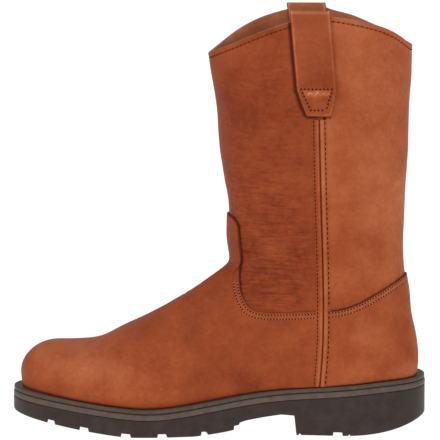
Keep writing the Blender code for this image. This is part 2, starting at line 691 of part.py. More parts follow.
def strap_grid(side, half_thickness):
    """Strap from its stitched foot over the collar and down inside, at one of its two faces."""
    outer_depth = GAP + STRAP_THICKNESS / 2
    inner_depth = -WALL - GAP - STRAP_THICKNESS / 2
    crown = STRAP_TOP - STRAP_THICKNESS / 2
    bend = 1.6 * MM
    outer_leg = list(np.linspace(STRAP_FOOT, crown - bend, 9))
    inner_leg = list(np.linspace(crown - bend, STRAP_INNER_FOOT, 6))
    heights = outer_leg + [crown - 0.3 * bend, crown, crown, crown - 0.3 * bend] + inner_leg
    depths = [outer_depth] * 9 + [outer_depth - 0.3 * bend, outer_depth - bend]
    depths += [inner_depth + bend, inner_depth + 0.3 * bend] + [inner_depth] * 6
    heights = np.array(heights)
    depths = np.array(depths)
    ahead = np.gradient(np.stack([depths, heights], 1), axis=0)
    ahead /= np.linalg.norm(ahead, axis=1)[:, None]
    depths = depths + ahead[:, 1] * half_thickness
    heights = heights - ahead[:, 0] * half_thickness
    taper = np.clip((heights - STRAP_FOOT) / (19 * MM), 0, 1) ** 0.8
    taper[11:] = 1
    width = STRAP_END_WIDTH + (STRAP_WIDTH - STRAP_END_WIDTH) * taper
    lean = np.clip((heights - STRAP_FOOT) / (STRAP_TOP - STRAP_FOOT), 0, 1)
    middle = seam_x(np.array(STRAP_FOOT)) - 7 * MM * lean
    across = np.linspace(-0.5, 0.5, 5)
    x = middle[:, None] + across[None, :] * width[:, None]
    level = np.minimum(heights, COLLAR_HEIGHT)[:, None] + 0 * x
    y = half_width(x, level, side) + side * depths[:, None]
    return np.stack([x, y, heights[:, None] + 0 * x], -1)


for side, name in ((-1, "pull_strap_lateral"), (1, "pull_strap_medial")):
    half = STRAP_THICKNESS / 2
    grid_solid(name, strap_grid(side, half), strap_grid(side, -half), False, strap_leather)

for item in boot.objects:
    if item.name in ("outsole", "midsole", "welt", "insole"):
        continue
    for polygon in item.data.polygons:
        polygon.use_smooth = True
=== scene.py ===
# %% [markdown]
# A western work boot, dressed over its solids.
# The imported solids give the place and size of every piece. This script lays finely worked surfaces
# over them: creased leather, stitched seams, rolled straps, a welt and a moulded lug sole.
# Everything is in metres, with the toe towards -X and the outer side of the foot towards -Y.

# %% Load the frame
import math

import bpy
import numpy as np
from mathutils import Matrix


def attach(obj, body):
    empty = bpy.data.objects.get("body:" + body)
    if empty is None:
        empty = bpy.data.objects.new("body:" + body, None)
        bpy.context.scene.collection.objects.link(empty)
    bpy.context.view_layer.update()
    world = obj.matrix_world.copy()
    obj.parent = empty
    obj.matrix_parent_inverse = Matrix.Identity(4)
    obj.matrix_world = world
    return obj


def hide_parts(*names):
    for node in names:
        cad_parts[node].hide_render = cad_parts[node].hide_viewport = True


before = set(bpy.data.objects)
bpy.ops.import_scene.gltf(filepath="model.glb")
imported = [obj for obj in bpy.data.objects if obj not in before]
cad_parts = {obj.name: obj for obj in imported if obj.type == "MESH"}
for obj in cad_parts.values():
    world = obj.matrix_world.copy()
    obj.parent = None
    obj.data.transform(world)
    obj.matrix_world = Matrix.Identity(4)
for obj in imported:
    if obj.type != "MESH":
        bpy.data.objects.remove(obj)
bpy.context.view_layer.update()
MM = 0.001
print("nodes in the frame:", len(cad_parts))

# %% [markdown]
# The camera stands where the photographer stood: almost square to the boot's outer side, a little
# above it, and far away, so that the sole's lines stay straight. The focal length follows from
# how many picture points one metre covers at the boot.

# %% Camera
PICTURE_POINTS = 440
POINTS_PER_METRE = 1350
CAMERA_DISTANCE = 2.5
CAMERA_TURN = math.radians(3)
CAMERA_RISE = math.radians(8)
CAMERA_TARGET = np.array([0, 0, 154.5 * MM])
SENSOR = 36.0

back = np.array([
    math.sin(CAMERA_TURN) * math.cos(CAMERA_RISE),
    -math.cos(CAMERA_TURN) * math.cos(CAMERA_RISE),
    math.sin(CAMERA_RISE),
])
camera_data = bpy.data.cameras.new("photo_camera")
camera_data.sensor_width = SENSOR
camera_data.lens = SENSOR * POINTS_PER_METRE * CAMERA_DISTANCE / PICTURE_POINTS
camera = bpy.data.objects.new("photo_camera", camera_data)
camera.location = CAMERA_TARGET + back * CAMERA_DISTANCE
camera.rotation_euler = (math.pi / 2 - CAMERA_RISE, 0, CAMERA_TURN)
bpy.context.scene.collection.objects.link(camera)
bpy.context.scene.camera = camera
print("lens in mm:", round(camera_data.lens, 1))

# %% [markdown]
# The boot was photographed on white, with light from all round and hardly a shadow. A white world
# gives that base, a large panel at the right and front lights the back of the shaft more than its
# front, and a smaller one from the upper left wakes the toe. The floor is white enough to burn out.

# %% Light and floor
def colour(code):
    """Linear colour of an sRGB hex code: low values divided by 12.92, others to the power of 2.4."""
    values = np.array([int(code[i:i + 2], 16) for i in (1, 3, 5)]) / 255
    linear = np.where(values <= 0.04045, values / 12.92, ((values + 0.055) / 1.055) ** 2.4)
    return (*linear.tolist(), 1.0)


def add(tree, kind, inputs=None, **settings):
    """Adds a node with its settings; inputs are numbers, colours or the outputs of other nodes."""
    made = tree.nodes.new(kind)
    for name, value in settings.items():
        setattr(made, name, value)
    for socket, value in (inputs or {}).items():
        if isinstance(value, bpy.types.NodeSocket):
            tree.links.new(value, made.inputs[socket])
        else:
            made.inputs[socket].default_value = value
    return made


def set_values(node, values):
    """Sets constants on a node's own sockets."""
    for socket, value in values.items():
        node.inputs[socket].default_value = value


def panel_light(name, place, aim, size, power):
    """Soft square light at a place, turned to its aim."""
    data = bpy.data.lights.new(name, "AREA")
    data.size = size
    data.energy = power
    light = bpy.data.objects.new(name, data)
    light.location = place
    towards = np.array(place, float) - np.array(aim, float)
    flat = math.hypot(towards[0], towards[1])
    light.rotation_euler = (math.atan2(flat, towards[2]), 0, math.atan2(towards[0], -towards[1]))
    bpy.context.scene.collection.objects.link(light)


WHITE = (1, 1, 1, 1)
WORLD_STRENGTH = 0.52
world = bpy.data.worlds.new("white_room")
world.use_nodes = True
set_values(world.node_tree.nodes["Background"], {"Color": WHITE, "Strength": WORLD_STRENGTH})
bpy.context.scene.world = world
bpy.context.scene.view_settings.view_transform = "Standard"

BOOT_MIDDLE = (20 * MM, 0, 150 * MM)
panel_light("key_panel", (1.5, -2.0, 1.5), BOOT_MIDDLE, 1.2, 15)
panel_light("toe_panel", (-1.6, -1.6, 1.9), BOOT_MIDDLE, 0.9, 24)

floor_paint = bpy.data.materials.new("white_paper")
floor_paint.use_nodes = True
set_values(floor_paint.node_tree.nodes["Principled BSDF"], {
    "Base Color": (0.1, 0.1, 0.1, 1), "Roughness": 0.9, "Emission Color": WHITE, "Emission Strength": 1.0})
floor_mesh = bpy.data.meshes.new("studio_floor")
floor_mesh.from_pydata([(-9, -9, 0), (9, -9, 0), (9, 30, 0), (-9, 30, 0)], [], [(0, 1, 2, 3)])
floor_mesh.materials.append(floor_paint)
floor = bpy.data.objects.new("studio_floor", floor_mesh)
bpy.context.scene.collection.objects.link(floor)

# %% [markdown]
# The sizes below are the maker's: those of the last and of the patterns. They repeat the sizes that
# the solids were made from, so that every surface here lies on its solid. Only these are finer: the
# reach and rounding of the toe, the foot's height at the heel, the tongue's edge, the width of bands
# and straps, the inner strap's lean, and the thin cuts in the tread, which are here alone.

# %% Sizes of the sole
SOLE_LENGTH = 305 * MM
BALL_WIDTH = 107 * MM
HEEL_WIDTH = 75 * MM
WAIST_WIDTH = 71 * MM
TOE_SWING = 4 * MM
HEEL_SEAT_HEIGHT = 33.5 * MM
WAIST_CLEARANCE = 15.2 * MM
HEEL_BEVEL = 12 * MM
TOE_SPRING = 11.3 * MM
LUG_DEPTH = 2.6 * MM
SIPE_DEPTH = 1.0 * MM
GAP = 0.3 * MM
MIDSOLE_THICKNESS = 4.2 * MM
WELT_THICKNESS = 3.3 * MM
WELT_FOOT = GAP + MIDSOLE_THICKNESS + GAP
FEATHER = WELT_FOOT + WELT_THICKNESS + GAP

# Plan of the sole: share of length, outer half width, inner half width, width they are shares of
PLAN = (
    (0.035, 0.335, 0.335, HEEL_WIDTH),
    (0.14, 0.50, 0.50, HEEL_WIDTH),
    (0.30, 0.51, 0.49, WAIST_WIDTH),
    (0.43, 0.54, 0.46, WAIST_WIDTH),
    (0.55, 0.43, 0.37, BALL_WIDTH),
    (0.66, 0.491, 0.445, BALL_WIDTH),
    (0.75, 0.481, 0.494, BALL_WIDTH),
    (0.85, 0.40, 0.45, BALL_WIDTH),
    (0.93, 0.285, 0.345, BALL_WIDTH),
    (0.98, 0.145, 0.205, BALL_WIDTH),
)

# Top edge of the outsole: share of length, share of the heel seat height
TOP_EDGE = (
    (0.0, 1.0), (0.1, 0.955), (0.2, 0.862), (0.3, 0.79), (0.4, 0.695), (0.5, 0.548),
    (0.58, 0.432), (0.66, 0.372), (0.74, 0.412), (0.82, 0.486), (0.9, 0.566), (1.0, 0.65),
)

# Underside of the waist and the tread's back edge: share of length, share of the waist clearance
WAIST_ARCH = (
    (0.308, 0.0), (0.313, 0.95), (0.345, 1.0), (0.39, 0.865), (0.43, 0.72),
    (0.445, 0.62), (0.452, 0.30), (0.48, 0.18), (0.515, 0.08), (0.555, 0.0),
)
HEEL_FLAT_FROM = 0.20
TREAD_FLAT_TO = 0.71

# Grooves between the lugs: share of length, width, depth
TREAD_GROOVES = (
    (0.18, 1.6 * MM, SIPE_DEPTH), (0.208, 7.4 * MM, LUG_DEPTH), (0.30, 1.6 * MM, SIPE_DEPTH),
    (0.452, 4.4 * MM, LUG_DEPTH), (0.530, 4.8 * MM, LUG_DEPTH), (0.631, 7.0 * MM, LUG_DEPTH),
    (0.719, 7.4 * MM, LUG_DEPTH), (0.820, 7.0 * MM, LUG_DEPTH), (0.900, 6.2 * MM, LUG_DEPTH),
)
CHEVRON = 9 * MM
TOE_REACH = 2.2 * MM

# %% [markdown]
# The upper is a foot of upright sections and a shaft of level ones. The tables give those sections,
# the rings that run round the boot, the collar's curve, the seam, and the edges of the overlays.

# %% Sizes of the upper
COLLAR_HEIGHT = 310 * MM
COLLAR_RISE = 28 * MM
SHAFT_WIDTH = 84 * MM
INSTEP_HEIGHT = 100 * MM
UPPER_INSET = 3.2 * MM
UPPER_TIP = 3.6 * MM
HEEL_TIP = 4.9 * MM
FEATHER_BULGE = 11 * MM
BULGE_DEPTH = 46 * MM
WIDEST = 90 * MM
WALL = 2.4 * MM
OVERLAY_THICKNESS = 1.2 * MM
OVERLAY_GAP = 0.4 * MM
BLEND = 8.0
CURVED_TO = 125 * MM
STRAIGHT_FROM = 200 * MM
TOE_ROUND = 29 * MM
HEEL_ROUND = 30 * MM
BACK_REACH = 150 * MM
COLLAR_FRONT = -9 * MM
COLLAR_BACK = 141 * MM
STRAP_WIDTH = 29 * MM
STRAP_END_WIDTH = 17.5 * MM
STRAP_THICKNESS = 2 * MM
STRAP_TOP = 313 * MM
STRAP_FOOT = 236.5 * MM
STRAP_INNER_FOOT = 256 * MM
STRAP_TAPER = 19 * MM
STRAP_LEAN = {-1: 7 * MM, 1: 12 * MM}
STRAP_BEND = 1.6 * MM

# Sections across the foot: share of length, top over the feather line as a share of the
# instep height, roundness across, roundness upwards
FOOT = (
    (0.0, 0.60, 2.2, 2.2), (0.12, 0.64, 2.2, 2.2), (0.25, 0.72, 2.1, 2.0), (0.35, 0.90, 2.0, 1.9),
    (0.43, 0.965, 1.9, 1.75), (0.48, 0.935, 1.85, 1.7), (0.53, 0.858, 1.85, 1.7),
    (0.58, 0.78, 1.9, 1.75), (0.63, 0.705, 1.95, 1.85), (0.68, 0.62, 2.05, 2.0),
    (0.74, 0.515, 2.2, 2.15), (0.79, 0.42, 2.3, 2.3), (0.84, 0.373, 2.4, 2.4),
    (0.90, 0.353, 2.45, 2.4), (1.0, 0.335, 2.45, 2.4),
)

# Level sections of the shaft: share of the collar height, front and back as shares of length,
# width as a share of the shaft width, roundness
SHAFT = (
    (0.10, 0.44, 0.0235, 0.78, 2.1), (0.16, 0.43, 0.0245, 0.80, 2.1), (0.22, 0.41, 0.027, 0.815, 2.1),
    (0.28, 0.41, 0.036, 0.81, 2.1), (0.34, 0.43, 0.0465, 0.80, 2.1), (0.40, 0.463, 0.0535, 0.80, 2.1),
    (0.46, 0.479, 0.0545, 0.83, 2.1), (0.53, 0.478, 0.053, 0.88, 2.1), (0.60, 0.489, 0.0505, 0.925, 2.1),
    (0.68, 0.501, 0.046, 0.96, 2.1), (0.78, 0.510, 0.042, 0.985, 2.1), (0.88, 0.525, 0.0385, 1.0, 2.1),
    (1.04, 0.545, 0.036, 1.0, 2.1),
)

# Paths of the rings in side view: share from sole to collar, front end's length and height,
# back end's height, dip behind the front end, all as shares of the length or collar height
RINGS = (
    (0.00, 0.985, 0.097, 0.135, 0.0), (0.04, 0.992, 0.132, 0.161, 0.0),
    (0.08, 0.982, 0.174, 0.187, 0.016), (0.12, 0.949, 0.200, 0.213, 0.035),
    (0.17, 0.887, 0.211, 0.245, 0.058), (0.23, 0.818, 0.216, 0.284, 0.065),
    (0.29, 0.746, 0.245, 0.323, 0.065), (0.35, 0.674, 0.277, 0.365, 0.058),
    (0.41, 0.608, 0.313, 0.410, 0.045), (0.47, 0.543, 0.355, 0.455, 0.029),
    (0.52, 0.490, 0.394, 0.494, 0.013), (0.57, 0.477, 0.445, 0.535, 0.0),
    (0.63, 0.480, 0.510, 0.587, 0.0), (0.70, 0.490, 0.587, 0.655, 0.0),
    (0.78, 0.503, 0.677, 0.735, 0.0), (0.86, 0.513, 0.768, 0.813, 0.0),
    (0.93, 0.523, 0.845, 0.877, 0.0), (1.00, 0.5295, 0.898, 0.921, 0.0),
)

# Rise of the collar over the line between its ends: share from front to back, outer, inner side
COLLAR = (
    (0.0, 0.0, 0.0), (0.04, 0.11, 0.14), (0.1, 0.24, 0.37), (0.2, 0.46, 0.67), (0.3, 0.66, 0.855),
    (0.4, 0.82, 0.97), (0.5, 0.95, 1.03), (0.56, 0.98, 0.98), (0.6, 0.95, 0.90), (0.7, 0.84, 0.74),
    (0.8, 0.69, 0.51), (0.9, 0.46, 0.27), (0.96, 0.22, 0.10), (1.0, 0.0, 0.0),
)

# Side seam: share of the collar height, share of length
SEAM = ((0.10, 0.2555), (0.20, 0.2475), (0.35, 0.2465), (0.60, 0.2535), (0.80, 0.258), (1.04, 0.262))

# Upper edges of the overlays: column from 0 at the front over 1 at the seam to 2 at the back, ring
VAMP_EDGE = (
    (0.0, 0.636), (0.1, 0.6355), (0.18, 0.633), (0.247, 0.629), (0.30, 0.620), (0.325, 0.612),
    (0.338, 0.604), (0.345, 0.588), (0.348, 0.563), (0.350, 0.545), (0.354, 0.524), (0.40, 0.511),
    (0.445, 0.499), (0.52, 0.474), (0.583, 0.448), (0.625, 0.428), (0.657, 0.413), (0.682, 0.400),
    (0.708, 0.389), (0.728, 0.382), (0.748, 0.376), (0.785, 0.367), (0.845, 0.356), (0.905, 0.347),
    (1.0, 0.333),
)
VAMP_CALM_EDGE = ((0.0, 0.636), (0.22, 0.622), (0.36, 0.555), (0.55, 0.462), (0.72, 0.388), (1.0, 0.333))
COUNTER_EDGE = (
    (1.0, 0.33), (1.1, 0.323), (1.2, 0.323), (1.3, 0.331),
    (1.42, 0.345), (1.58, 0.36), (1.76, 0.372), (2.0, 0.378),
)

# Ring up to which the hidden wall is sunk under the overlays, for each column
SUNK_UP_TO = (
    (0.0, 0.60), (0.15, 0.60), (0.3, 0.565), (0.45, 0.49),
    (0.6, 0.405), (0.75, 0.345), (0.9, 0.33), (2.0, 0.33),
)
SUNK_OVER = 0.15

# %% [markdown]
# A last has no straight line, so its form is a function and not a drawing. One function gives the
# foot as upright sections along the sole, another gives the shaft as level sections, and a smooth
# union melts them together at the instep. A point is inside where the value is below zero.
# Rings run round the boot from the sole to the collar, and columns from the front line over the
# side seam to the back, so a pair of column and ring names one point of the leather.

# %% The form of the last
STEEP = 1000
LEAST_CAP = 0.0005
VALUE_LIMIT = 8


def spline(at, knots, values):
    """Natural cubic spline through the knots, held flat beyond its two ends."""
    xs = np.asarray(knots, float)
    ys = np.asarray(values, float)
    steps = np.diff(xs)
    matrix = np.eye(len(xs))
    right = np.zeros(len(xs))
    for i in range(1, len(xs) - 1):
        matrix[i, i - 1:i + 2] = steps[i - 1], 2 * (steps[i - 1] + steps[i]), steps[i]
        right[i] = 6 * ((ys[i + 1] - ys[i]) / steps[i] - (ys[i] - ys[i - 1]) / steps[i - 1])
    bend = np.linalg.solve(matrix, right)
    at = np.clip(at, xs[0], xs[-1])
    k = np.clip(np.searchsorted(xs, at, "right") - 1, 0, len(xs) - 2)
    a = at - xs[k]
    b = xs[k + 1] - at
    h = steps[k]
    curve = (bend[k] * b ** 3 + bend[k + 1] * a ** 3) / (6 * h)
    return curve + (ys[k] / h - bend[k] * h / 6) * b + (ys[k + 1] / h - bend[k + 1] * h / 6) * a


def column(table, index):
    """One column of a table as an array."""
    return np.array([row[index] for row in table], float)


def read(table, at, index):
    """Spline through a table's column, read at the given values of its first column."""
    return spline(at, column(table, 0), column(table, index))


def sole_outline(count):
    """Plan of the sole as points around it: a closed spline by chord length through the table."""
    right = [(0.5 * SOLE_LENGTH, 0)]
    right += [((0.5 - s) * SOLE_LENGTH, -outer * width) for s, outer, inner, width in PLAN]
    right += [(-0.5 * SOLE_LENGTH, TOE_SWING)]
    left = [((0.5 - s) * SOLE_LENGTH, inner * width) for s, outer, inner, width in PLAN]
    reach = np.asarray(right + left[::-1], float)
    doubled = np.vstack([reach, reach, reach, reach[:1]])
    chord = np.concatenate([[0], np.cumsum(np.linalg.norm(np.diff(doubled, axis=0), axis=1))])
    at = np.linspace(chord[len(reach)], chord[2 * len(reach)], count, endpoint=False)
    return np.stack([spline(at, chord, doubled[:, 0]), spline(at, chord, doubled[:, 1])], 1)


def moved_in(loop, inset):
    """Closed plan loop moved inwards by the inset, along its own normals."""
    along = np.roll(loop, -1, 0) - np.roll(loop, 1, 0)
    along /= np.linalg.norm(along, axis=1)[:, None]
    outward_2d = np.stack([along[:, 1], -along[:, 0]], 1)
    if np.sum((loop - loop.mean(0)) * outward_2d) < 0:
        outward_2d = -outward_2d
    return loop - outward_2d * inset


def split_plan(loop):
    """Outer and inner side of a plan loop, each from the toe to the heel."""
    turned = np.roll(loop, -int(loop[:, 0].argmax()), 0)
    toe = int(turned[:, 0].argmin())
    return turned[:toe + 1][::-1], np.vstack([turned[toe:], turned[:1]])


LAST_OUTER, LAST_INNER = split_plan(moved_in(sole_outline(800), UPPER_INSET))


def sides_of_plan(x):
    """Y of the plan's two sides at x, for the line the upper bulges to."""
    outer = np.interp(x, LAST_OUTER[:, 0], LAST_OUTER[:, 1])
    inner = np.interp(x, LAST_INNER[:, 0], LAST_INNER[:, 1])
    return outer, inner


def share_of(x):
    """Share of the sole's length at x, from the heel."""
    return 0.5 - x / SOLE_LENGTH


def top_edge(x):
    """Height of the outsole's top edge."""
    return HEEL_SEAT_HEIGHT * read(TOP_EDGE, share_of(x), 1)


def feather_height(x):
    """Height of the line where the upper meets the welt."""
    return top_edge(x) + FEATHER


def centre_line(x, z):
    """Y of the upper's middle: the plan's middle low down, fading to zero up the shaft."""
    tip = SOLE_LENGTH / 2 - UPPER_TIP
    outer, inner = sides_of_plan(np.clip(x, -tip, tip))
    weight = np.clip((STRAIGHT_FROM - z) / (STRAIGHT_FROM - CURVED_TO), 0, 1)
    return weight * weight * (3 - 2 * weight) * (outer + inner) / 2


def foot_value(x, y, z):
    """Below zero inside the foot: upright sections, flattened towards the toe and heel ends.

    Both caps are quarter circles, and beyond the two ends the value rises steeply.
    """
    share = share_of(x)
    height = INSTEP_HEIGHT * read(FOOT, share, 1)
    tip = SOLE_LENGTH / 2 - UPPER_TIP
    outer, inner = sides_of_plan(np.clip(x, -tip, tip))
    width = np.maximum((inner - outer) / 2, 0.1 * MM)
    to_toe = (x + tip) / TOE_ROUND
    to_heel = (SOLE_LENGTH / 2 - HEEL_TIP - x) / HEEL_ROUND
    ends = STEEP * (np.maximum(-to_toe, 0) + np.maximum(-to_heel, 0))
    toe_cap = np.sqrt(1 - (1 - np.clip(to_toe, LEAST_CAP, 1)) ** 2)
    heel_cap = np.sqrt(1 - (1 - np.clip(to_heel, LEAST_CAP, 1)) ** 2)
    over = z - feather_height(x) - FEATHER_BULGE
    up = over / ((height - FEATHER_BULGE) * toe_cap * heel_cap)
    down = -over / (BULGE_DEPTH * toe_cap * heel_cap)
    across = (np.abs(y - centre_line(x, z)) / width) ** read(FOOT, share, 2)
    return across + np.where(over > 0, up, down) ** read(FOOT, share, 3) + ends - 1


def shaft_value(x, y, z):
    """Below zero inside the shaft: level sections."""
    level = z / COLLAR_HEIGHT
    front = (0.5 - read(SHAFT, level, 1)) * SOLE_LENGTH
    behind = (0.5 - read(SHAFT, level, 2)) * SOLE_LENGTH
    width = read(SHAFT, level, 3) * SHAFT_WIDTH / 2
    power = read(SHAFT, level, 4)
    along = np.abs(x - (front + behind) / 2) / ((behind - front) / 2)
    return along ** power + (np.abs(y - centre_line(x, z)) / width) ** power - 1


def upper_value(x, y, z):
    """Smooth union of foot and shaft, by the logarithm of their summed exponentials."""
    foot = np.minimum(foot_value(x, y, z), VALUE_LIMIT)
    shaft = np.minimum(shaft_value(x, y, z), VALUE_LIMIT)
    least = np.minimum(foot, shaft)
    return least - np.log(np.exp(-BLEND * (foot - least)) + np.exp(-BLEND * (shaft - least))) / BLEND


# %% [markdown]
# Points of the leather are found by halving: along a ring for its two ends and the side seam, and
# across the boot for the half width. Thirty halvings leave less than a thousandth of a millimetre.

# %% Points and normals of the leather
HALVINGS = 30
DIP_REACH = 0.06


def ring_path(along, ring, side):
    """Side view point of a ring: share along it from the front end to the back end."""
    front_x = (0.5 - read(RINGS, ring, 1)) * SOLE_LENGTH
    front_z = read(RINGS, ring, 2) * COLLAR_HEIGHT
    back_z = read(RINGS, ring, 3) * COLLAR_HEIGHT
    dip = np.interp(ring, column(RINGS, 0), column(RINGS, 4)) * COLLAR_HEIGHT
    x = front_x + (BACK_REACH - front_x) * along
    z = front_z + (back_z - front_z) * along
    z = z - dip * np.sign(along) * (1 - np.exp(-np.abs(along) / DIP_REACH)) * (1 - along)
    first_x = (0.5 - RINGS[0][1]) * SOLE_LENGTH
    first_z, last_z = RINGS[0][2] * COLLAR_HEIGHT, RINGS[0][3] * COLLAR_HEIGHT
    straight = first_z + (last_z - first_z) * (x - first_x) / (BACK_REACH - first_x)
    z = z + (1 - ring) ** 4 * (feather_height(x) - straight)
    share = np.clip((x - COLLAR_FRONT) / (COLLAR_BACK - COLLAR_FRONT), 0, 1)
    return x, z + ring ** 7 * COLLAR_RISE * read(COLLAR, share, 1 if side < 0 else 2)


def seam_x(z):
    """X of the side seam at a height."""
    return (0.5 - read(SEAM, z / COLLAR_HEIGHT, 1)) * SOLE_LENGTH


def ring_marks(rings, side):
    """Shares along each ring of its front end, the side seam and its back end, by halving."""
    marks = []
    for outside, inside in ((-0.12, 0.5), (1.12, 0.5)):
        out = np.full(rings.shape, outside)
        held = np.full(rings.shape, inside)
        for _ in range(HALVINGS):
            trial = (out + held) / 2
            x, z = ring_path(trial, rings, side)
            beyond = upper_value(x, centre_line(x, z), z) > 0
            out = np.where(beyond, trial, out)
            held = np.where(beyond, held, trial)
        marks.append(held)
    low = np.zeros(rings.shape)
    high = np.ones(rings.shape)
    for _ in range(HALVINGS):
        trial = (low + high) / 2
        x, z = ring_path(trial, rings, side)
        before = x < seam_x(z)
        low = np.where(before, trial, low)
        high = np.where(before, high, trial)
    return marks[0], low, marks[1]


KNOWN_RINGS = np.linspace(0, 1, 401)
KNOWN_MARKS = {side: ring_marks(KNOWN_RINGS, side) for side in (-1, 1)}


def half_width(x, z, side):
    """Y of the upper's surface on one side, found by halving."""
    middle = centre_line(x, z)
    low = np.zeros_like(x)
    high = np.full_like(x, WIDEST)
    for _ in range(HALVINGS):
        trial = (low + high) / 2
        inside = upper_value(x, middle + side * trial, z) < 0
        low = np.where(inside, trial, low)
        high = np.where(inside, high, trial)
    return middle + side * low


def surface(columns, rings, side):
    """Points of the upper's surface for grids of columns and rings on one side."""
    columns, rings = np.broadcast_arrays(columns, rings)
    front, seam, behind = (np.interp(rings, KNOWN_RINGS, mark) for mark in KNOWN_MARKS[side])
    before = front + (seam - front) * (1 - np.cos(math.pi / 2 * columns))
    after = behind - (behind - seam) * (1 - np.cos(math.pi / 2 * (2 - columns)))
    x, z = ring_path(np.where(columns < 1, before, after), rings, side)
    return np.stack([x, half_width(x, z, side), z], -1)


def outward(points):
    """Unit normals of the upper at points of its surface."""
    step = 0.2 * MM
    x, y, z = points[..., 0], points[..., 1], points[..., 2]
    slope = np.stack([
        upper_value(x + step, y, z) - upper_value(x - step, y, z),
        upper_value(x, y + step, z) - upper_value(x, y - step, z),
        upper_value(x, y, z + step) - upper_value(x, y, z - step),
    ], -1)
    return slope / np.linalg.norm(slope, axis=-1)[..., None]


def strap_width(heights):
    """Width of a pull strap at a height: narrow at its foot, full from one taper up."""
    taper = np.clip((heights - STRAP_FOOT) / STRAP_TAPER, 0, 1) ** 0.8
    return STRAP_END_WIDTH + (STRAP_WIDTH - STRAP_END_WIDTH) * taper


def strap_middle(heights, lean):
    """X of a pull strap's middle line at a height: it leans more, the higher it is."""
    share = np.clip((heights - STRAP_FOOT) / (STRAP_TOP - STRAP_FOOT), 0, 1)
    return seam_x(np.array(STRAP_FOOT)) - lean * share


def overlay_edge(columns):
    """Ring at which the overlay ends, for each column."""
    vamp_ring = np.interp(columns, column(VAMP_EDGE, 0), column(VAMP_EDGE, 1))
    counter_ring = np.interp(columns, column(COUNTER_EDGE, 0), column(COUNTER_EDGE, 1))
    return np.where(columns <= 1, vamp_ring, counter_ring)


def calm_edge(columns):
    """Slower line near the overlay's edge, which the rows further from the edge follow."""
    vamp_ring = np.interp(columns, column(VAMP_CALM_EDGE, 0), column(VAMP_CALM_EDGE, 1))
    return np.where(columns <= 1, vamp_ring, overlay_edge(columns))


def sink(columns, rings):
    """How far the hidden wall lies under the foot's outer line, so that the overlay fills it."""
    limit = np.interp(columns, column(SUNK_UP_TO, 0), column(SUNK_UP_TO, 1))
    share = np.clip((limit - rings) / SUNK_OVER, 0, 1)
    return (OVERLAY_GAP + OVERLAY_THICKNESS) * share * share * (3 - 2 * share)


def both_sides(columns, ring_rows, order):
    """Base points, normals, columns, rings and side of a strip over both sides of the boot.

    The order closed runs round the boot, front runs over the front line, back over the back line.
    """
    rows = []
    for side in (-1, 1):
        points = surface(columns[None, :], ring_rows, side)
        shape = points.shape[:2]
        rows.append([points, outward(points), np.broadcast_to(columns[None, :], shape),
                     np.broadcast_to(ring_rows, shape), np.full(shape, side)])
    outer_side, inner_side = rows
    joined = []
    for a, b in zip(outer_side, inner_side):
        if order == "closed":
            joined.append(np.concatenate([a, b[:, -2:0:-1]], 1))
        elif order == "front":
            joined.append(np.concatenate([b[:, :0:-1], a], 1))
        else:
            joined.append(np.concatenate([a, b[:, -2::-1]], 1))
    return joined


print("front of the collar:", surface(np.array([0.0]), np.array([1.0]), -1).round(4).tolist())

# %% [markdown]
# Leather is never quite even. A lattice of random values with smooth steps between them gives
# soft noise at any size in millimetres. It is seeded, so that each run gives the same hide.

# %% Soft noise and small helpers
LATTICE = 32
CHUNK = 4000


def soft_noise(points, size, seed):
    """Noise from -1 to 1: random values on a lattice of the given cell size, smoothly blended."""
    table = np.random.default_rng(seed).uniform(-1, 1, (LATTICE, LATTICE, LATTICE))
    scaled = points / np.asarray(size)
    cell = np.floor(scaled).astype(int)
    part = scaled - cell
    part = part * part * (3 - 2 * part)
    total = np.zeros(points.shape[:-1])
    for dx in (0, 1):
        for dy in (0, 1):
            for dz in (0, 1):
                near = (cell + (dx, dy, dz)) % LATTICE
                corner = table[near[..., 0], near[..., 1], near[..., 2]]
                weight = np.abs(1 - dx - part[..., 0]) * np.abs(1 - dy - part[..., 1])
                total += corner * weight * np.abs(1 - dz - part[..., 2])
    return total


def smooth_step(value, low, high):
    """Smooth rise from 0 at the low value to 1 at the high one."""
    share = np.clip((value - low) / (high - low), 0, 1)
    return share * share * (3 - 2 * share)


def joined_steps(ends, counts):
    """Even steps between each two ends, with a count of points for each stretch."""
    parts = [np.linspace(a, b, count) for a, b, count in zip(ends[:-1], ends[1:], counts)]
    return np.concatenate(parts[:1] + [part[1:] for part in parts[1:]])


def bell(value, width):
    """Soft hump of height 1 and the given half width."""
    return np.exp(-(value / width) ** 2)


def distance_to(points, line):
    """Distance from each point to the nearest stretch of a line of points."""
    flat = points.reshape(-1, 3)
    best = np.full(len(flat), 1.0)
    start = line[:-1]
    run = line[1:] - start
    square = np.maximum((run ** 2).sum(1), 1e-12)
    for first in range(0, len(flat), CHUNK):
        chunk = flat[first:first + CHUNK]
        offset = chunk[:, None, :] - start[None]
        along = np.clip((offset * run[None]).sum(2) / square, 0, 1)
        gap = np.linalg.norm(offset - along[..., None] * run[None], axis=2)
        best[first:first + CHUNK] = gap.min(1)
    return best.reshape(points.shape[:-1])


def quads_of(rows, count, closed, shift=0):
    """Four-cornered faces of a grid of points; a closed grid wraps round its columns."""
    i, j = np.meshgrid(np.arange(rows - 1), np.arange(count if closed else count - 1), indexing="ij")
    low = i * count + shift
    high = low + count
    k = (j + 1) % count
    return np.stack([low + j, low + k, high + k, high + j], -1).reshape(-1, 4)


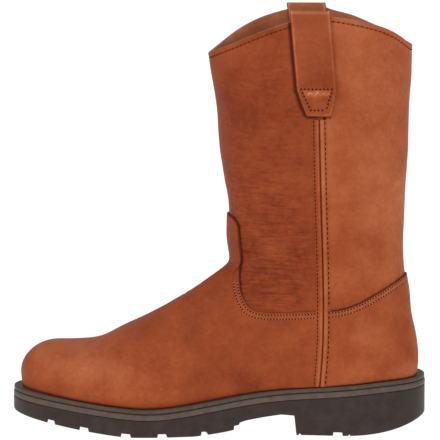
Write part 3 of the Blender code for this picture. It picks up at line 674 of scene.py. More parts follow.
def make_piece(name, points, faces, paints, nodes=(), layers=None, slots_of_faces=None):
    """Mesh object from arrays, riding on the boot, with its faces turned outwards by their volume."""
    corners = points[faces]
    fan = np.cross(corners[:, 1], corners[:, 2]) * corners[:, 0]
    fan_two = np.cross(corners[:, 2], corners[:, 3]) * corners[:, 0]
    if fan.sum() + fan_two.sum() < 0:
        faces = faces[:, ::-1]
    mesh = bpy.data.meshes.new(name)
    mesh.from_pydata(points.tolist(), [], faces.tolist())
    for paint in paints:
        mesh.materials.append(paint)
    mesh.polygons.foreach_set("use_smooth", np.ones(len(faces), bool))
    if slots_of_faces is not None:
        mesh.polygons.foreach_set("material_index", slots_of_faces)
    for layer, values in (layers or {}).items():
        mesh.attributes.new(layer, "FLOAT", "POINT").data.foreach_set("value", values.ravel())
    mesh.update()
    piece = bpy.data.objects.new(name, mesh)
    bpy.context.scene.collection.objects.link(piece)
    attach(piece, "root")
    if nodes:
        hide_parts(*nodes)
    print(name, "faces:", len(faces))
    return piece

# %% [markdown]
# The upper is oiled nubuck: cowhide, buffed to a short nap and filled with wax and oil. It gives the
# eye a broad dull sheen and cloudy tones where the oil has moved. Three values painted on the mesh
# steer its colour: tone says how light the hide is, with painted highlights on raised spots; the
# shade value is painted shade in folds, wrinkles and grooves and beside the straps, and darkens cut
# edges, partly by their own dark dye; wrinkle says where the fine lines are, whose ridges are
# painted lighter and whose troughs darker as painted shade.

# %% Leather material
CLOUD_SIZE = 22 * MM
FLECK_SIZE = 3 * MM
PORE_SIZE = 1.3 * MM
LINES_PER_METRE = (70, 70, 850)
CLOUD_CHANGE = 0.55
FLECK_CHANGE = 0.26
LINE_CHANGE = 0.8
# How far the painted shade value darkens the colour
SHADE_AND_EDGE_DYE_CHANGE = -0.62
GRAIN_DEPTH = 0.12 * MM
LINE_DEPTH = 0.9 * MM


def new_finish(name):
    """Material with its tree, its shader and the object's own coordinates."""
    made = bpy.data.materials.new(name)
    made.use_nodes = True
    tree = made.node_tree
    return made, tree, tree.nodes["Principled BSDF"], add(tree, "ShaderNodeTexCoord").outputs["Object"]


def noise(tree, place, size, detail, roughness=0.5, distortion=0.0):
    """Noise from 0 to 1 with spots of the given size."""
    return add(tree, "ShaderNodeTexNoise", {
        "Vector": place, "Scale": 1 / size, "Detail": detail, "Roughness": roughness,
        "Distortion": distortion}).outputs["Fac"]


def maths(tree, operation, *values):
    """Outcome of one math node."""
    return add(tree, "ShaderNodeMath", dict(enumerate(values)), operation=operation).outputs[0]


def centred(tree, value, strength):
    """Noise about a half, turned into a change about zero."""
    return maths(tree, "MULTIPLY_ADD", value, strength, -strength / 2)


def shaded(tree, value, shades, low, high):
    """Colour of a value, by a ramp of shades spaced evenly between two positions."""
    ramp = add(tree, "ShaderNodeValToRGB", {"Fac": value})
    stops = ramp.color_ramp.elements
    for stop, position, shade in ((stops[0], low, shades[0]), (stops[1], high, shades[-1])):
        stop.position = position
        stop.color = colour(shade)
    for number, shade in enumerate(shades[1:-1], 1):
        stops.new(low + (high - low) * number / (len(shades) - 1)).color = colour(shade)
    return ramp.outputs["Color"]


def spread(tree, value, low, high):
    """Noise from 0.3 to 0.7 spread between two values."""
    return add(tree, "ShaderNodeMapRange", {
        "Value": value, "From Min": 0.3, "From Max": 0.7, "To Min": low, "To Max": high}).outputs[0]


def bumped(tree, height, strength, depth, below=None):
    """Normal bent by a height, over an earlier bump's normal where one is given."""
    inputs = {"Strength": strength, "Distance": depth, "Height": height}
    if below is not None:
        inputs["Normal"] = below
    return add(tree, "ShaderNodeBump", inputs).outputs["Normal"]


def wire(tree, shader, paint, rough, normal):
    """Links colour, roughness and normal to the shader."""
    for socket, output in (("Base Color", paint), ("Roughness", rough), ("Normal", normal)):
        tree.links.new(output, shader.inputs[socket])


def leather(name, shades, nap, sheen):
    """Oiled nubuck: cloudy tone through a ramp of shades, fine grain and fine wrinkles as bumps."""
    made, tree, shader, place = new_finish(name)
    tone, shade_and_edge_dye, wrinkle = (
        add(tree, "ShaderNodeAttribute", attribute_name=layer).outputs["Fac"]
        for layer in ("tone", "shade_and_edge_dye", "wrinkle"))
    clouds = noise(tree, place, CLOUD_SIZE, 4.0, 0.62)
    flecks = noise(tree, place, FLECK_SIZE, 3.0, 0.6)
    stretched = add(tree, "ShaderNodeMapping", {"Vector": place, "Scale": LINES_PER_METRE}).outputs["Vector"]
    lines = noise(tree, stretched, 1.0, 2.5, 0.55, 0.25)
    total = tone
    # Painted shade: the shade value darkens the colour, and the wrinkle lines paint their ridges lighter and
    # their troughs darker
    for part in (
            centred(tree, clouds, CLOUD_CHANGE),
            centred(tree, flecks, FLECK_CHANGE),
            maths(tree, "MULTIPLY", centred(tree, lines, LINE_CHANGE), wrinkle),
            maths(tree, "MULTIPLY", shade_and_edge_dye, SHADE_AND_EDGE_DYE_CHANGE)):
        total = maths(tree, "ADD", total, part)
    pores = add(tree, "ShaderNodeTexVoronoi", {"Vector": place, "Scale": 1 / PORE_SIZE}).outputs["Distance"]
    grain = maths(tree, "MULTIPLY_ADD", pores, 0.5, noise(tree, place, nap * MM, 3.0))
    grained = bumped(tree, grain, 0.55, GRAIN_DEPTH)
    wrinkled = bumped(tree, maths(tree, "MULTIPLY", lines, wrinkle), 0.8, LINE_DEPTH, grained)
    wire(tree, shader, shaded(tree, total, shades, 0.0, 1.0), spread(tree, clouds, 0.52, 0.68), wrinkled)
    set_values(shader, {
        "IOR": 1.45, "Specular IOR Level": 0.16, "Sheen Weight": sheen, "Sheen Roughness": 0.5})
    return made


nubuck = leather("oiled_nubuck", ("#551c09", "#7f3314", "#9b4823", "#b2613b", "#c8845c"), 0.5, 0.015)
strap_nubuck = leather("strap_nubuck", ("#5a210c", "#833819", "#9c4c28", "#b56c47", "#dcab8d"), 0.45, 0.015)
lining = leather("tanned_lining", ("#5c2a14", "#874629", "#a65c3b", "#ba7656", "#cb9579"), 0.8, 0.02)
raw_edge = leather("raw_edge", ("#4a3326", "#6b4d3c", "#8a6a56", "#a08471", "#b39c8a"), 0.3, 0.0)

# %% [markdown]
# Thread, rubber and the welt's strips have simpler finishes. The seams are sewn with a bonded
# polyester thread in dark brown and, on the overlays, in tan. The sole is injection moulded rubber
# in a brown near to black: dull, a little dusty, with a faint cloud from the mould.

# %% Thread, rubber and strip materials
def plain_finish(name, low, high, size, rough, bump_size, bump_depth, specular):
    """Finish between two shades by noise of one size in millimetres, with bumps of another."""
    made, tree, shader, place = new_finish(name)
    cloud = noise(tree, place, size * MM, 5.0, 0.65)
    grain = bumped(tree, noise(tree, place, bump_size * MM, 2.0), 0.6, bump_depth * MM)
    paint = shaded(tree, cloud, (low, high), 0.32, 0.68)
    wire(tree, shader, paint, spread(tree, cloud, rough - 0.07, rough + 0.07), grain)
    set_values(shader, {"Specular IOR Level": specular})
    return made


rubber = plain_finish("moulded_rubber", "#2f2523", "#3e322e", 9.0, 0.5, 0.7, 0.06, 0.2)
strip = plain_finish("midsole_strip", "#50443c", "#63554b", 6.0, 0.5, 0.5, 0.05, 0.2)
welt_finish = plain_finish("welt_strip", "#493c34", "#5b4a40", 5.0, 0.48, 0.6, 0.05, 0.2)
dark_thread = plain_finish("dark_bonded_thread", "#4a1a0c", "#682c18", 2.0, 0.7, 0.25, 0.05, 0.05)
tan_thread = plain_finish("tan_bonded_thread", "#99583f", "#bd8367", 2.0, 0.65, 0.25, 0.05, 0.05)
seam_thread = plain_finish("brown_bonded_thread", "#7a3a22", "#a0603f", 2.0, 0.7, 0.25, 0.05, 0.05)
# Needle holes are dark blobs of painted shade
needle_hole_shade = plain_finish("needle_hole_shade", "#330e04", "#451608", 2.0, 0.9, 0.3, 0.03, 0.0)
board = plain_finish("insole_board", "#8a6a4a", "#a5835f", 4.0, 0.75, 0.6, 0.08, 0.2)

# %% [markdown]
# Light and dark fields are laid on in side view, as soft patches, partly the hide's own tone and
# partly painted light: the toe's side is painted paler as a painted highlight, a painted highlight
# lies on the back of the shaft, the front of the shaft and the instep stay dark, and the back of the
# shaft is lighter.
# The main folds of the shaft's front are laid the same way, each a soft trough with a ridge over it.

# %% Tone patches and folds
# Patches in millimetres: x, z, reach along, reach up; then the change of tone, painted highlight at the toe
# and the back
TONE_AND_HIGHLIGHT_PATCHES = (
    (-125, 55, 18, 14, 0.18), (-95, 48, 25, 16, 0.18), (-60, 44, 30, 16, 0.10), (-40, 82, 40, 16, -0.02),
    (8, 118, 20, 22, -0.08), (30, 62, 34, 16, -0.02), (-90, 66, 45, 12, 0.10), (110, 30, 40, 12, 0.08),
    (20, 40, 40, 8, -0.10), (115, 70, 26, 26, 0.05), (140, 62, 9, 18, -0.07), (140, 45, 12, 8, 0.16),
    (130, 170, 14, 18, 0.14), (95, 130, 26, 40, -0.08), (20, 250, 26, 30, -0.08), (92, 210, 12, 50, -0.05),
    (24, 283, 22, 9, 0.15), (146, 70, 4, 16, 0.05),
)

# Folds in millimetres: x, z, half length; then slope in degrees and depth in millimetres
SHAFT_FOLDS = (
    (42.7, 115.9, 19, 7, 0.55), (31.6, 109.9, 11, 12, 0.5), (47.0, 104.7, 22, 4, 0.6),
    (41.0, 99.5, 10, 14, 0.45), (37.6, 123.4, 17, 3, 0.5), (42.0, 135.0, 23, 3, 0.45),
    (39.0, 145.8, 22, 2, 0.4), (55.3, 130.0, 16, 10, 0.4), (45.0, 157.8, 27, 2, 0.35),
    (31.6, 167.5, 15, 5, 0.3), (57.6, 175.0, 13, -3, 0.3), (35.3, 186.2, 18, -2, 0.3),
    (50.1, 201.0, 20, -3, 0.25), (27.9, 212.4, 14, -4, 0.22), (39.0, 227.0, 18, 0, 0.2),
    (58.0, 112.0, 12, -6, 0.4),
)
INSTEP_FOLDS = (
    (2, 108, 12, -38, 0.18), (-6, 101, 14, -34, 0.2), (-20, 96, 16, -28, 0.35), (-62, 66, 13, -50, 0.3),
    (-72, 60, 11, -60, 0.3),
)

# Across a fold: how far its ends bow, how far up its ridge stands, half widths of ridge and trough
FOLD_BOW = 2.5 * MM
RIDGE_RISE = 2.1 * MM
RIDGE_WIDTH = 1.4 * MM
TROUGH_WIDTH = 1.1 * MM


def tone_at(points, columns):
    """Tone, partly painted highlight: lighter behind the side seam than before it, with the patches added."""
    x, z = points[..., 0], points[..., 2]
    tone = 0.40 + 0.17 * smooth_step(columns, 0.97, 1.03) * smooth_step(z, 90 * MM, 120 * MM)
    tone += 0.08 * smooth_step(columns, 0.97, 1.03) + 0.08 * smooth_step(z, 125 * MM, 80 * MM) - 0.04
    for at_x, at_z, along, up, change in TONE_AND_HIGHLIGHT_PATCHES:
        away = np.hypot((x - at_x * MM) / (along * MM), (z - at_z * MM) / (up * MM))
        tone = tone + change * bell(away, 1.0)
    return tone


def fold_height(points, folds):
    """Height from the folds: each a trough with a lower ridge above it, fading to its ends."""
    x, z = points[..., 0], points[..., 2]
    height = np.zeros(x.shape)
    for *lengths, slope, depth in folds:
        at_x, at_z, half = (value * MM for value in lengths)
        turn = math.radians(slope)
        along = (x - at_x) * math.cos(turn) + (z - at_z) * math.sin(turn)
        up = (z - at_z) * math.cos(turn) - (x - at_x) * math.sin(turn)
        up = up + FOLD_BOW * (along / half) ** 2 * math.copysign(0.5, slope)
        fade = bell(along, half * 0.75)
        height += depth * MM * fade * (0.6 * bell(up - RIDGE_RISE, RIDGE_WIDTH) - bell(up, TROUGH_WIDTH))
    return height


def hide_swell(points):
    """Slow swelling of the leather, the same for the wall and what lies on it."""
    return 0.35 * MM * soft_noise(points, 34 * MM, 3) + 0.2 * MM * soft_noise(points, 13 * MM, 4)


def fine_wrinkles(points):
    """Level wrinkles: noise stretched along the boot, bent by slower noise, with sharp troughs."""
    bent = points.copy()
    bent[..., 2] += 5 * MM * soft_noise(points, 30 * MM, 5)
    first = 1 - np.abs(soft_noise(bent, (17 * MM, 17 * MM, 3.4 * MM), 6)) * 2.2
    second = 1 - np.abs(soft_noise(bent, (10 * MM, 10 * MM, 2.2 * MM), 7)) * 2.2
    return -(np.maximum(first, 0) ** 2 * 0.6 + np.maximum(second, 0) ** 2 * 0.4)


# %% [markdown]
# The shaft's leather is one closed surface: up the outside from the welt to the collar, over the
# rounded rim and down the inside again. Near the collar a stitched channel follows the rim.

# %% Upper
COLLAR_STITCH = 3.3 * MM
WRINKLE_DEPTH = 0.22 * MM
RIM_ROLL = 0.2 * MM
RIM_CHANNEL = 0.3 * MM
RIM_ROWS = 6
RIM_RISE = 0.5 * MM
UPWARDS = np.array([0, 0, 1])
upper_rings = joined_steps((0, 0.3, 0.95, 1), (14, 168, 30))
upper_columns = joined_steps((0, 1, 2), (98, 64))
base, normal, cols, rings, sides = both_sides(upper_columns, upper_rings[:, None], "closed")
rim_line = np.vstack([base[-1], base[-1, :1]])
to_rim = np.full(rings.shape, 1.0)
near_rim = upper_rings > 0.9
to_rim[near_rim] = distance_to(base[near_rim], rim_line)

# Height of the outer face: slow swelling, wrinkles and folds, fading out towards the rim
front_part = 1 - smooth_step(cols, 0.86, 0.96)
low_part = 0.3 + 0.7 * smooth_step(base[..., 2], 235 * MM, 120 * MM)
wrinkle_field = front_part * low_part * smooth_step(to_rim, 4 * MM, 30 * MM)
wrinkles = fine_wrinkles(base)
folds = fold_height(base, SHAFT_FOLDS) * front_part
height = hide_swell(base) + WRINKLE_DEPTH * wrinkles * wrinkle_field + folds
height *= smooth_step(to_rim, 0, 12 * MM) * 0.9 + 0.1
height += RIM_ROLL * smooth_step(to_rim, COLLAR_STITCH, 1.2 * MM)
height -= RIM_CHANNEL * bell(to_rim - COLLAR_STITCH, 0.8 * MM)
upper_face = base + normal * (height - sink(cols, rings))[..., None]
upper_face[0, :, 2] = feather_height(upper_face[0, :, 0])

# Round over the rim, then down the inner face, which is smooth
turns = np.linspace(0, math.pi, RIM_ROWS + 2)[1:-1]
rim_rows = [
    upper_face[-1] + normal[-1] * (WALL / 2 * (math.cos(turn) - 1)) + RIM_RISE * math.sin(turn) * UPWARDS
    for turn in turns
]
inner_rings = np.linspace(1, 0, 60)
inside, facing_in, in_cols, in_rings, _ = both_sides(upper_columns, inner_rings[:, None], "closed")
inner_face = inside - facing_in * (WALL + sink(in_cols, in_rings))[..., None]
inner_face[-1, :, 2] = feather_height(inner_face[-1, :, 0])
around = np.concatenate([upper_face, np.stack(rim_rows), inner_face])
rows_all, count_all = around.shape[:2]
faces_upper = quads_of(rows_all, count_all, True)
this = np.arange(count_all)
after = (this + 1) % count_all
last_row = (rows_all - 1) * count_all
faces_upper = np.vstack([faces_upper, np.stack([last_row + this, last_row + after, after, this], -1)])

# Shadow of the pull straps: along their front edge and under their foot
strap_half = strap_width(base[..., 2]) / 2
strap_off = base[..., 0] - strap_middle(base[..., 2], np.where(sides < 0, STRAP_LEAN[-1], STRAP_LEAN[1]))
over_foot = base[..., 2] - STRAP_FOOT
beside = bell(strap_off + strap_half + 0.8 * MM, 1.3 * MM) * smooth_step(over_foot, -1 * MM, 0)
below_foot = bell(over_foot + 0.5 * MM, 1.1 * MM) * (np.abs(strap_off) < strap_half)
strap_shadow = 0.9 * beside + 0.8 * below_foot

# Painted values for the outer face, the rim and the inner face. The shade value is painted shade
# in the troughs of folds and wrinkles, along the collar's stitched channel, beside and under the
# straps, and deeper down inside the boot
tone = np.concatenate([
    tone_at(base, cols), np.full((RIM_ROWS, count_all), 0.5), 0.5 + 0.1 * soft_noise(inner_face, 30 * MM, 9)])
shade_and_edge_dye = np.concatenate([
    np.clip(-folds / (0.5 * MM), 0, 1) * 0.13 + 0.12 * bell(to_rim - COLLAR_STITCH, 0.9 * MM) + strap_shadow
    + np.clip(-wrinkles, 0, 1) * wrinkle_field * 0.3,
    np.zeros((RIM_ROWS, count_all)), 0.5 * smooth_step(inner_face[..., 2], 300 * MM, 200 * MM)])
wrinkle_map = np.concatenate([
    wrinkle_field * 0.62 + 0.08, np.zeros((RIM_ROWS, count_all)), np.full(inner_face.shape[:2], 0.1)])
paint_rows = np.repeat([0, 1, 2], [len(upper_rings) - 1, RIM_ROWS + 1, len(inner_rings)])
make_piece(
    "shaft_leather", around.reshape(-1, 3), faces_upper, (nubuck, raw_edge, lining),
    ("upper",), {"tone": tone, "shade_and_edge_dye": shade_and_edge_dye, "wrinkle": wrinkle_map}, np.repeat(paint_rows, count_all))

# %% [markdown]
# Vamp and counter are cut from the same hide and lie over the shaft's wall. Their outer face rolls
# down to the wall at the cut edge, and two stitched channels follow that edge at a set distance.
# The distance from every point to the edge is measured in space, so channels keep their width.

# %% Vamp and counter
CHANNEL_DEPTH = 0.32 * MM
CHANNEL_SWELL = 0.12 * MM
EDGE_ROLL = 0.9 * MM
VAMP_CHANNELS = (2.2 * MM, 5.2 * MM)
COUNTER_CHANNELS = (1.9 * MM, 4.6 * MM)
VAMP_SEWN_BELOW = 112 * MM
COUNTER_SEWN_BELOW = 200 * MM


def rolled(distance, radius):
    """Quarter round from nearly nothing at the edge to full height one radius in."""
    share = np.clip((distance + 0.05 * radius) / radius, 0, 1)
    return np.sqrt(1 - (1 - share) ** 2)


def shell(outer, inner):
    """Points and faces of a closed shell between two grids of the same shape."""
    rows, count = outer.shape[:2]
    total = rows * count
    points = np.vstack([outer.reshape(-1, 3), inner.reshape(-1, 3)])
    faces = [quads_of(rows, count, False), quads_of(rows, count, False, total)[:, ::-1]]
    j = np.arange(count - 1)
    i = np.arange(rows - 1) * count
    top = (rows - 1) * count
    faces.append(np.stack([j, j + total, j + 1 + total, j + 1], -1))
    faces.append(np.stack([top + j, top + j + 1, top + j + 1 + total, top + j + total], -1))
    faces.append(np.stack([i, i + count, i + count + total, i + total], -1))
    end = i + count - 1
    faces.append(np.stack([end, end + total, end + count + total, end + count], -1))
    return points, np.vstack(faces)


def layers_of(tone, shade_and_edge_dye, wrinkle):
    """The three painted values for both faces of a shell, with one value for the wrinkles."""
    painted = {"tone": tone, "shade_and_edge_dye": shade_and_edge_dye, "wrinkle": np.full(tone.shape, wrinkle)}
    return {name: np.concatenate([values, values]) for name, values in painted.items()}


def overlay_piece(name, node, columns, order, rows, channels, folds, sewn_below):
    """Overlay with a rolled edge and stitched channels; returns its face, normals and distances."""
    shares = 1 - np.linspace(1, 0, rows)[:, None] ** 1.7
    calm = calm_edge(columns)[None, :]
    ring_rows = shares * calm + shares ** 9 * (overlay_edge(columns)[None, :] - calm)
    base, normal, cols, rings, _ = both_sides(columns, ring_rows, order)
    to_edge = distance_to(base, base[-1])
    height = hide_swell(base) * smooth_step(to_edge, 0, 10 * MM) + fold_height(base, folds)
    is_sewn = smooth_step(base[..., 2], sewn_below + 3 * MM, sewn_below)
    for channel in channels:
        height -= CHANNEL_DEPTH * is_sewn * bell(to_edge - channel, 0.75 * MM)
    between = (channels[0] + channels[1]) / 2
    height += CHANNEL_SWELL * is_sewn * bell(to_edge - between, 1.0 * MM)
    thickness = OVERLAY_THICKNESS * rolled(to_edge, EDGE_ROLL)
    face = base + normal * (OVERLAY_GAP + thickness + height - sink(cols, rings))[..., None]
    under = base + normal * (0.4 * OVERLAY_GAP - sink(cols, rings))[..., None]
    for grid in (face, under):
        grid[0, :, 2] = feather_height(grid[0, :, 0])
    points, faces = shell(face, under)
    # Painted shade at the cut edge, where it is partly the edge's own dark dye, in fold troughs and along the
    # stitched channels
    dark = 0.15 + 0.85 * smooth_step(cols, 0.66, 0.5) + 0.65 * smooth_step(cols, 1.0, 1.08)
    dark_edge = (1 - smooth_step(to_edge, 0.5 * MM, 1.4 * MM)) * dark
    folded = np.clip(-fold_height(base, folds) / (0.5 * MM), 0, 1) * 0.2
    sewn = sum(bell(to_edge - channel, 0.7 * MM) for channel in channels) * 0.12 * is_sewn
    # A painted highlight on the raised swell between the two channels
    tone = tone_at(base, cols) + 0.09 * is_sewn * bell(to_edge - between, 1.8 * MM)
    layers = layers_of(tone, np.maximum(dark_edge, folded + sewn), 0.07)
    make_piece(name, points, faces, (nubuck,), (node,), layers)
    return face, normal, to_edge


vamp_columns = joined_steps((0, 0.24, 0.345, 0.37, 0.66, 1), (26, 17, 15, 48, 38))
counter_columns = np.linspace(1, 2, 84)
vamp_face, vamp_normal, vamp_distance = overlay_piece(
    "vamp_leather", "vamp", vamp_columns, "front", 120, VAMP_CHANNELS, INSTEP_FOLDS, VAMP_SEWN_BELOW)
counter_face, counter_normal, counter_distance = overlay_piece(
    "counter_leather", "counter", counter_columns, "back", 90, COUNTER_CHANNELS, (), COUNTER_SEWN_BELOW)

# %% [markdown]
# A raised band covers each side seam, where vamp, counter and the two halves of the shaft meet.
# It is puffed on both sides of the seam line and sinks under its two rows of stitches.

# %% Side seam bands
BAND_WIDTH = 10.4 * MM
BAND_TOP = 0.808
BAND_HEIGHT = 1.1 * MM
FRONT_ROW = -4.0 * MM
BACK_ROW = 3.9 * MM
ROW_DEPTH = 0.25 * MM
SLIT_DEPTH = 0.75 * MM


def seam_band(side):
    """Band over one side seam: its cross section, in a width across, is carried up the seam line."""
    band_rings = np.linspace(0.002, BAND_TOP, 240)
    middle = surface(np.ones_like(band_rings), band_rings, side)
    across = np.sin(np.linspace(-math.pi / 2, math.pi / 2, 45)) * BAND_WIDTH / 2
    x = middle[:, None, 0] + across[None, :]
    z = middle[:, None, 2] + 0 * x
    base = np.stack([x, half_width(x, z, side), z], -1)
    normal = outward(base)
    over_edge = 1 - smooth_step(band_rings, 0.326, 0.337)
    lift = (OVERLAY_GAP + OVERLAY_THICKNESS) * over_edge - sink(np.ones_like(band_rings), band_rings)
    t = across[None, :] + 0 * x
    edge = rolled(BAND_WIDTH / 2 - np.abs(t), 0.8 * MM)
    puff = BAND_HEIGHT * (0.45 + 0.55 * np.abs(np.sin(math.pi * np.clip(t / (4.0 * MM), -1, 1))) ** 0.8)
    rows = bell(t - FRONT_ROW, 0.65 * MM) + bell(t - BACK_ROW, 0.65 * MM)
    slit = bell(t - 0.15 * MM, 0.42 * MM)
    profile = puff * edge - ROW_DEPTH * rows - SLIT_DEPTH * slit
    profile += 0.3 * MM * bell(t + 0.9 * MM, 0.5 * MM)
    profile = np.maximum(profile, 0.08 * MM)
    face = base + normal * (lift[:, None] + profile + hide_swell(base))[..., None]
    under = base + normal * (lift[:, None] - 0.15 * MM + 0 * x)[..., None]
    points, faces = shell(face, under)
    tone = tone_at(base, np.full(x.shape, 1.0) + 0.02 * np.sign(t))
    # Painted highlights on the puffs either side of the slit; below, painted shade in the slit and the stitch
    # rows
    tone += 0.18 * bell(t + 1.3 * MM, 0.9 * MM) + 0.10 * bell(t - 1.8 * MM, 1.2 * MM) + 0.04
    layers = layers_of(tone, np.clip(1.1 * slit + 0.05 * rows, 0, 1), 0.05)
    name = "seam_band_outer" if side < 0 else "seam_band_inner"
    node = "side_seam_lateral" if side < 0 else "side_seam_medial"
    make_piece(name, points, faces, (nubuck,), (node,), layers)
    places = [int(np.abs(across - row).argmin()) for row in (FRONT_ROW, BACK_ROW)]
    return [(face[:, at], normal[:, at]) for at in places]


seam_lines = {side: seam_band(side) for side in (-1, 1)}

# %% [markdown]
# The two pull straps are folded over the collar and stitched down at their foot. Each is a strip
# with turned edges, so its rims stand up a little and catch the light; a painted highlight lies on
# the rims as well, and painted shade on the front edge. Its pull over the collar makes it bow, and
# the stitched foot has a trapezoid of thread with a scuffed band at its top.

# %% Pull straps
OUTER_ROWS, INNER_ROWS = 110, 40
STRAP_COLUMNS = 41
STRAP_MIDDLE = 20
STRAP_BOW = 1.3 * MM
BOW_HEIGHT = 285 * MM
BOW_REACH = 24 * MM
SCUFF_HEIGHT = 253.6 * MM
strap_across = np.sin(np.linspace(-math.pi / 2, math.pi / 2, STRAP_COLUMNS)) / 2


def strap_rows(half_thickness):
    """Heights and depths of a strap's rows: up outside, round over the collar, down inside."""
    outer_depth = GAP + STRAP_THICKNESS / 2
    inner_depth = -WALL - GAP - STRAP_THICKNESS / 2
    crown = STRAP_TOP - STRAP_THICKNESS / 2
    turn = np.linspace(0, math.pi, 14)[1:-1]
    middle = (outer_depth + inner_depth) / 2
    reach = (outer_depth - inner_depth) / 2
    bend_foot = crown - STRAP_BEND
    heights = np.concatenate([
        np.linspace(STRAP_FOOT, bend_foot, OUTER_ROWS), bend_foot + STRAP_BEND * np.sin(turn),
        np.linspace(bend_foot, STRAP_INNER_FOOT, INNER_ROWS)])
    depths = np.concatenate([
        np.full(OUTER_ROWS, outer_depth), middle + reach * np.cos(turn), np.full(INNER_ROWS, inner_depth)])
    ahead = np.gradient(np.stack([depths, heights], 1), axis=0)
    ahead /= np.linalg.norm(ahead, axis=1)[:, None]
    ahead_depth, ahead_height = ahead[:, :1], ahead[:, 1:]
    return depths[:, None] + ahead_height * half_thickness, heights[:, None] - ahead_depth * half_thickness


def strap_face(side, half_thickness):
    """One face of a strap, with its thickness given for each point of the grid."""
    rows_depth, rows_height = strap_rows(half_thickness)
    _, plain = strap_rows(np.zeros((1, 1)))
    width = strap_width(plain)
    middle = strap_middle(plain, STRAP_LEAN[side])
    x = middle + strap_across[None, :] * width
    level = np.minimum(rows_height, COLLAR_HEIGHT) + 0 * x
    y = half_width(x, level, side) + side * (rows_depth + 0 * x)
    return np.stack([x, y, rows_height + 0 * x], -1), width, x - middle


def strap_thickness(width, offset, heights):
    """Half thickness: rolled at the sides and the foot, with a raised rim and a hollow inside it."""
    to_side = width / 2 - np.abs(offset)
    to_foot = np.maximum(heights - STRAP_FOOT, 0) + 0 * offset
    edge = np.minimum(to_side, to_foot)
    half = STRAP_THICKNESS / 2 * rolled(edge, EDGE_ROLL)
    return half + 0.12 * MM * bell(edge - 1.1 * MM, 0.7 * MM), edge


def pull_strap(side):
    """Strap of one side; returns its outer face for the stitches."""
    centre, width, offset = strap_face(side, np.zeros((1, 1)))
    half, edge = strap_thickness(width, offset, centre[..., 2])
    outer_leg = np.arange(len(centre))[:, None] < OUTER_ROWS
    bow = STRAP_BOW * bell((centre[..., 2] - BOW_HEIGHT) / BOW_REACH, 1.0)
    bow = bow * (1 - (2 * offset / width) ** 2) * outer_leg
    facing = np.cross(np.gradient(centre, axis=0), np.gradient(centre, axis=1))
    facing /= np.linalg.norm(facing, axis=-1)[..., None]
    facing *= np.sign(facing[5, STRAP_MIDDLE, 1] * side)
    face = centre + facing * (half + bow)[..., None]
    under = centre - facing * (STRAP_THICKNESS / 2 * 0.8 * rolled(edge, EDGE_ROLL) - bow)[..., None]
    points, faces = shell(face, under)
    scuffed = bell(centre[..., 2] - SCUFF_HEIGHT, 2.6 * MM) * outer_leg
    scuffed = scuffed * smooth_step(10.5 * MM - np.abs(offset), 0, 2 * MM)
    # A painted highlight on the raised rim just inside each edge
    tone = 0.44 + 0.17 * bell(edge - 1.3 * MM, 0.7 * MM) + 0.22 * ~outer_leg
    tone = tone + 0.36 * scuffed * (1 + 0.7 * soft_noise(centre, 1.3 * MM, 8))
    tone = tone - 0.10 * smooth_step(centre[..., 2], BOW_HEIGHT, 262 * MM)
    tone = tone + 0.06 * soft_noise(centre, 14 * MM, 12)
    # Painted shade on the rim of the front edge, partly the edge's own dark dye
    shade_and_edge_dye = 0.55 * (1 - smooth_step(edge, 0.2 * MM, 0.9 * MM)) * (offset < 0)
    name = "pull_strap_outer" if side < 0 else "pull_strap_inner"
    node = "pull_strap_lateral" if side < 0 else "pull_strap_medial"
    make_piece(name, points, faces, (strap_nubuck,), (node,), layers_of(tone, shade_and_edge_dye, 0.05))
    return face, facing, offset


strap_faces = {side: pull_strap(side) for side in (-1, 1)}

# %% [markdown]
# A row of stitches is a short plump capsule of thread repeated along a line on the leather, each
# dipping into the hide at both ends, with a dark flattened capsule between one stitch and the next:
# painted shade that stands for the needle hole. One capsule is worked out once and carried to every
# place by its own three directions.

# %% Stitches
STITCH_SIDES, STITCH_RINGS = 7, 7
# Stitches: pitch, share of it under thread, thread width, half length and half width of the hole's painted
# shade, slant
OVERLAY_STITCH = (2.3 * MM, 0.5, 1.0 * MM, (0.6 * MM, 0.6 * MM))
FRONT_STITCH = (2.9 * MM, 0.42, 0.9 * MM, (0.9 * MM, 0.6 * MM))
BACK_STITCH = (3.7 * MM, 0.5, 1.2 * MM, (1.05 * MM, 0.9 * MM))
RIM_STITCH = (3.6 * MM, 0.54, 1.0 * MM, (0.3 * MM, 0.3 * MM), math.radians(10))
STRAP_STITCH = (2.8 * MM, 0.45, 0.8 * MM, (0.7 * MM, 0.62 * MM))


def capsule():
    """Capsule along the first axis, from -1 to 1: radius is the root of one less the fourth power."""
    s = np.sin(np.linspace(-math.pi / 2, math.pi / 2, STITCH_RINGS)) * 0.995
    turn = np.linspace(0, 2 * math.pi, STITCH_SIDES, endpoint=False)
    radius = np.sqrt(1 - s ** 4)
    grid = np.stack([
        s[:, None] + 0 * turn, radius[:, None] * np.cos(turn), radius[:, None] * np.sin(turn)], -1)
    return grid.reshape(-1, 3), quads_of(STITCH_RINGS, STITCH_SIDES, True)


def spaced(line, normals, pitch):
    """Points, directions and normals at even spacing along a line."""
    length = np.concatenate([[0], np.cumsum(np.linalg.norm(np.diff(line, axis=0), axis=1))])
    at = np.arange(pitch / 2, length[-1] - pitch / 4, pitch)
    points = np.stack([np.interp(at, length, line[:, i]) for i in range(3)], 1)
    facing = np.stack([np.interp(at, length, normals[:, i]) for i in range(3)], 1)
    step = 0.3 * pitch
    before, after = (
        np.stack([np.interp(at + move, length, line[:, i]) for i in range(3)], 1) for move in (-step, step))
    ahead = after - before
    ahead /= np.linalg.norm(ahead, axis=1)[:, None]
    facing -= ahead * (facing * ahead).sum(1)[:, None]
    facing /= np.linalg.norm(facing, axis=1)[:, None]
    return points, ahead, facing


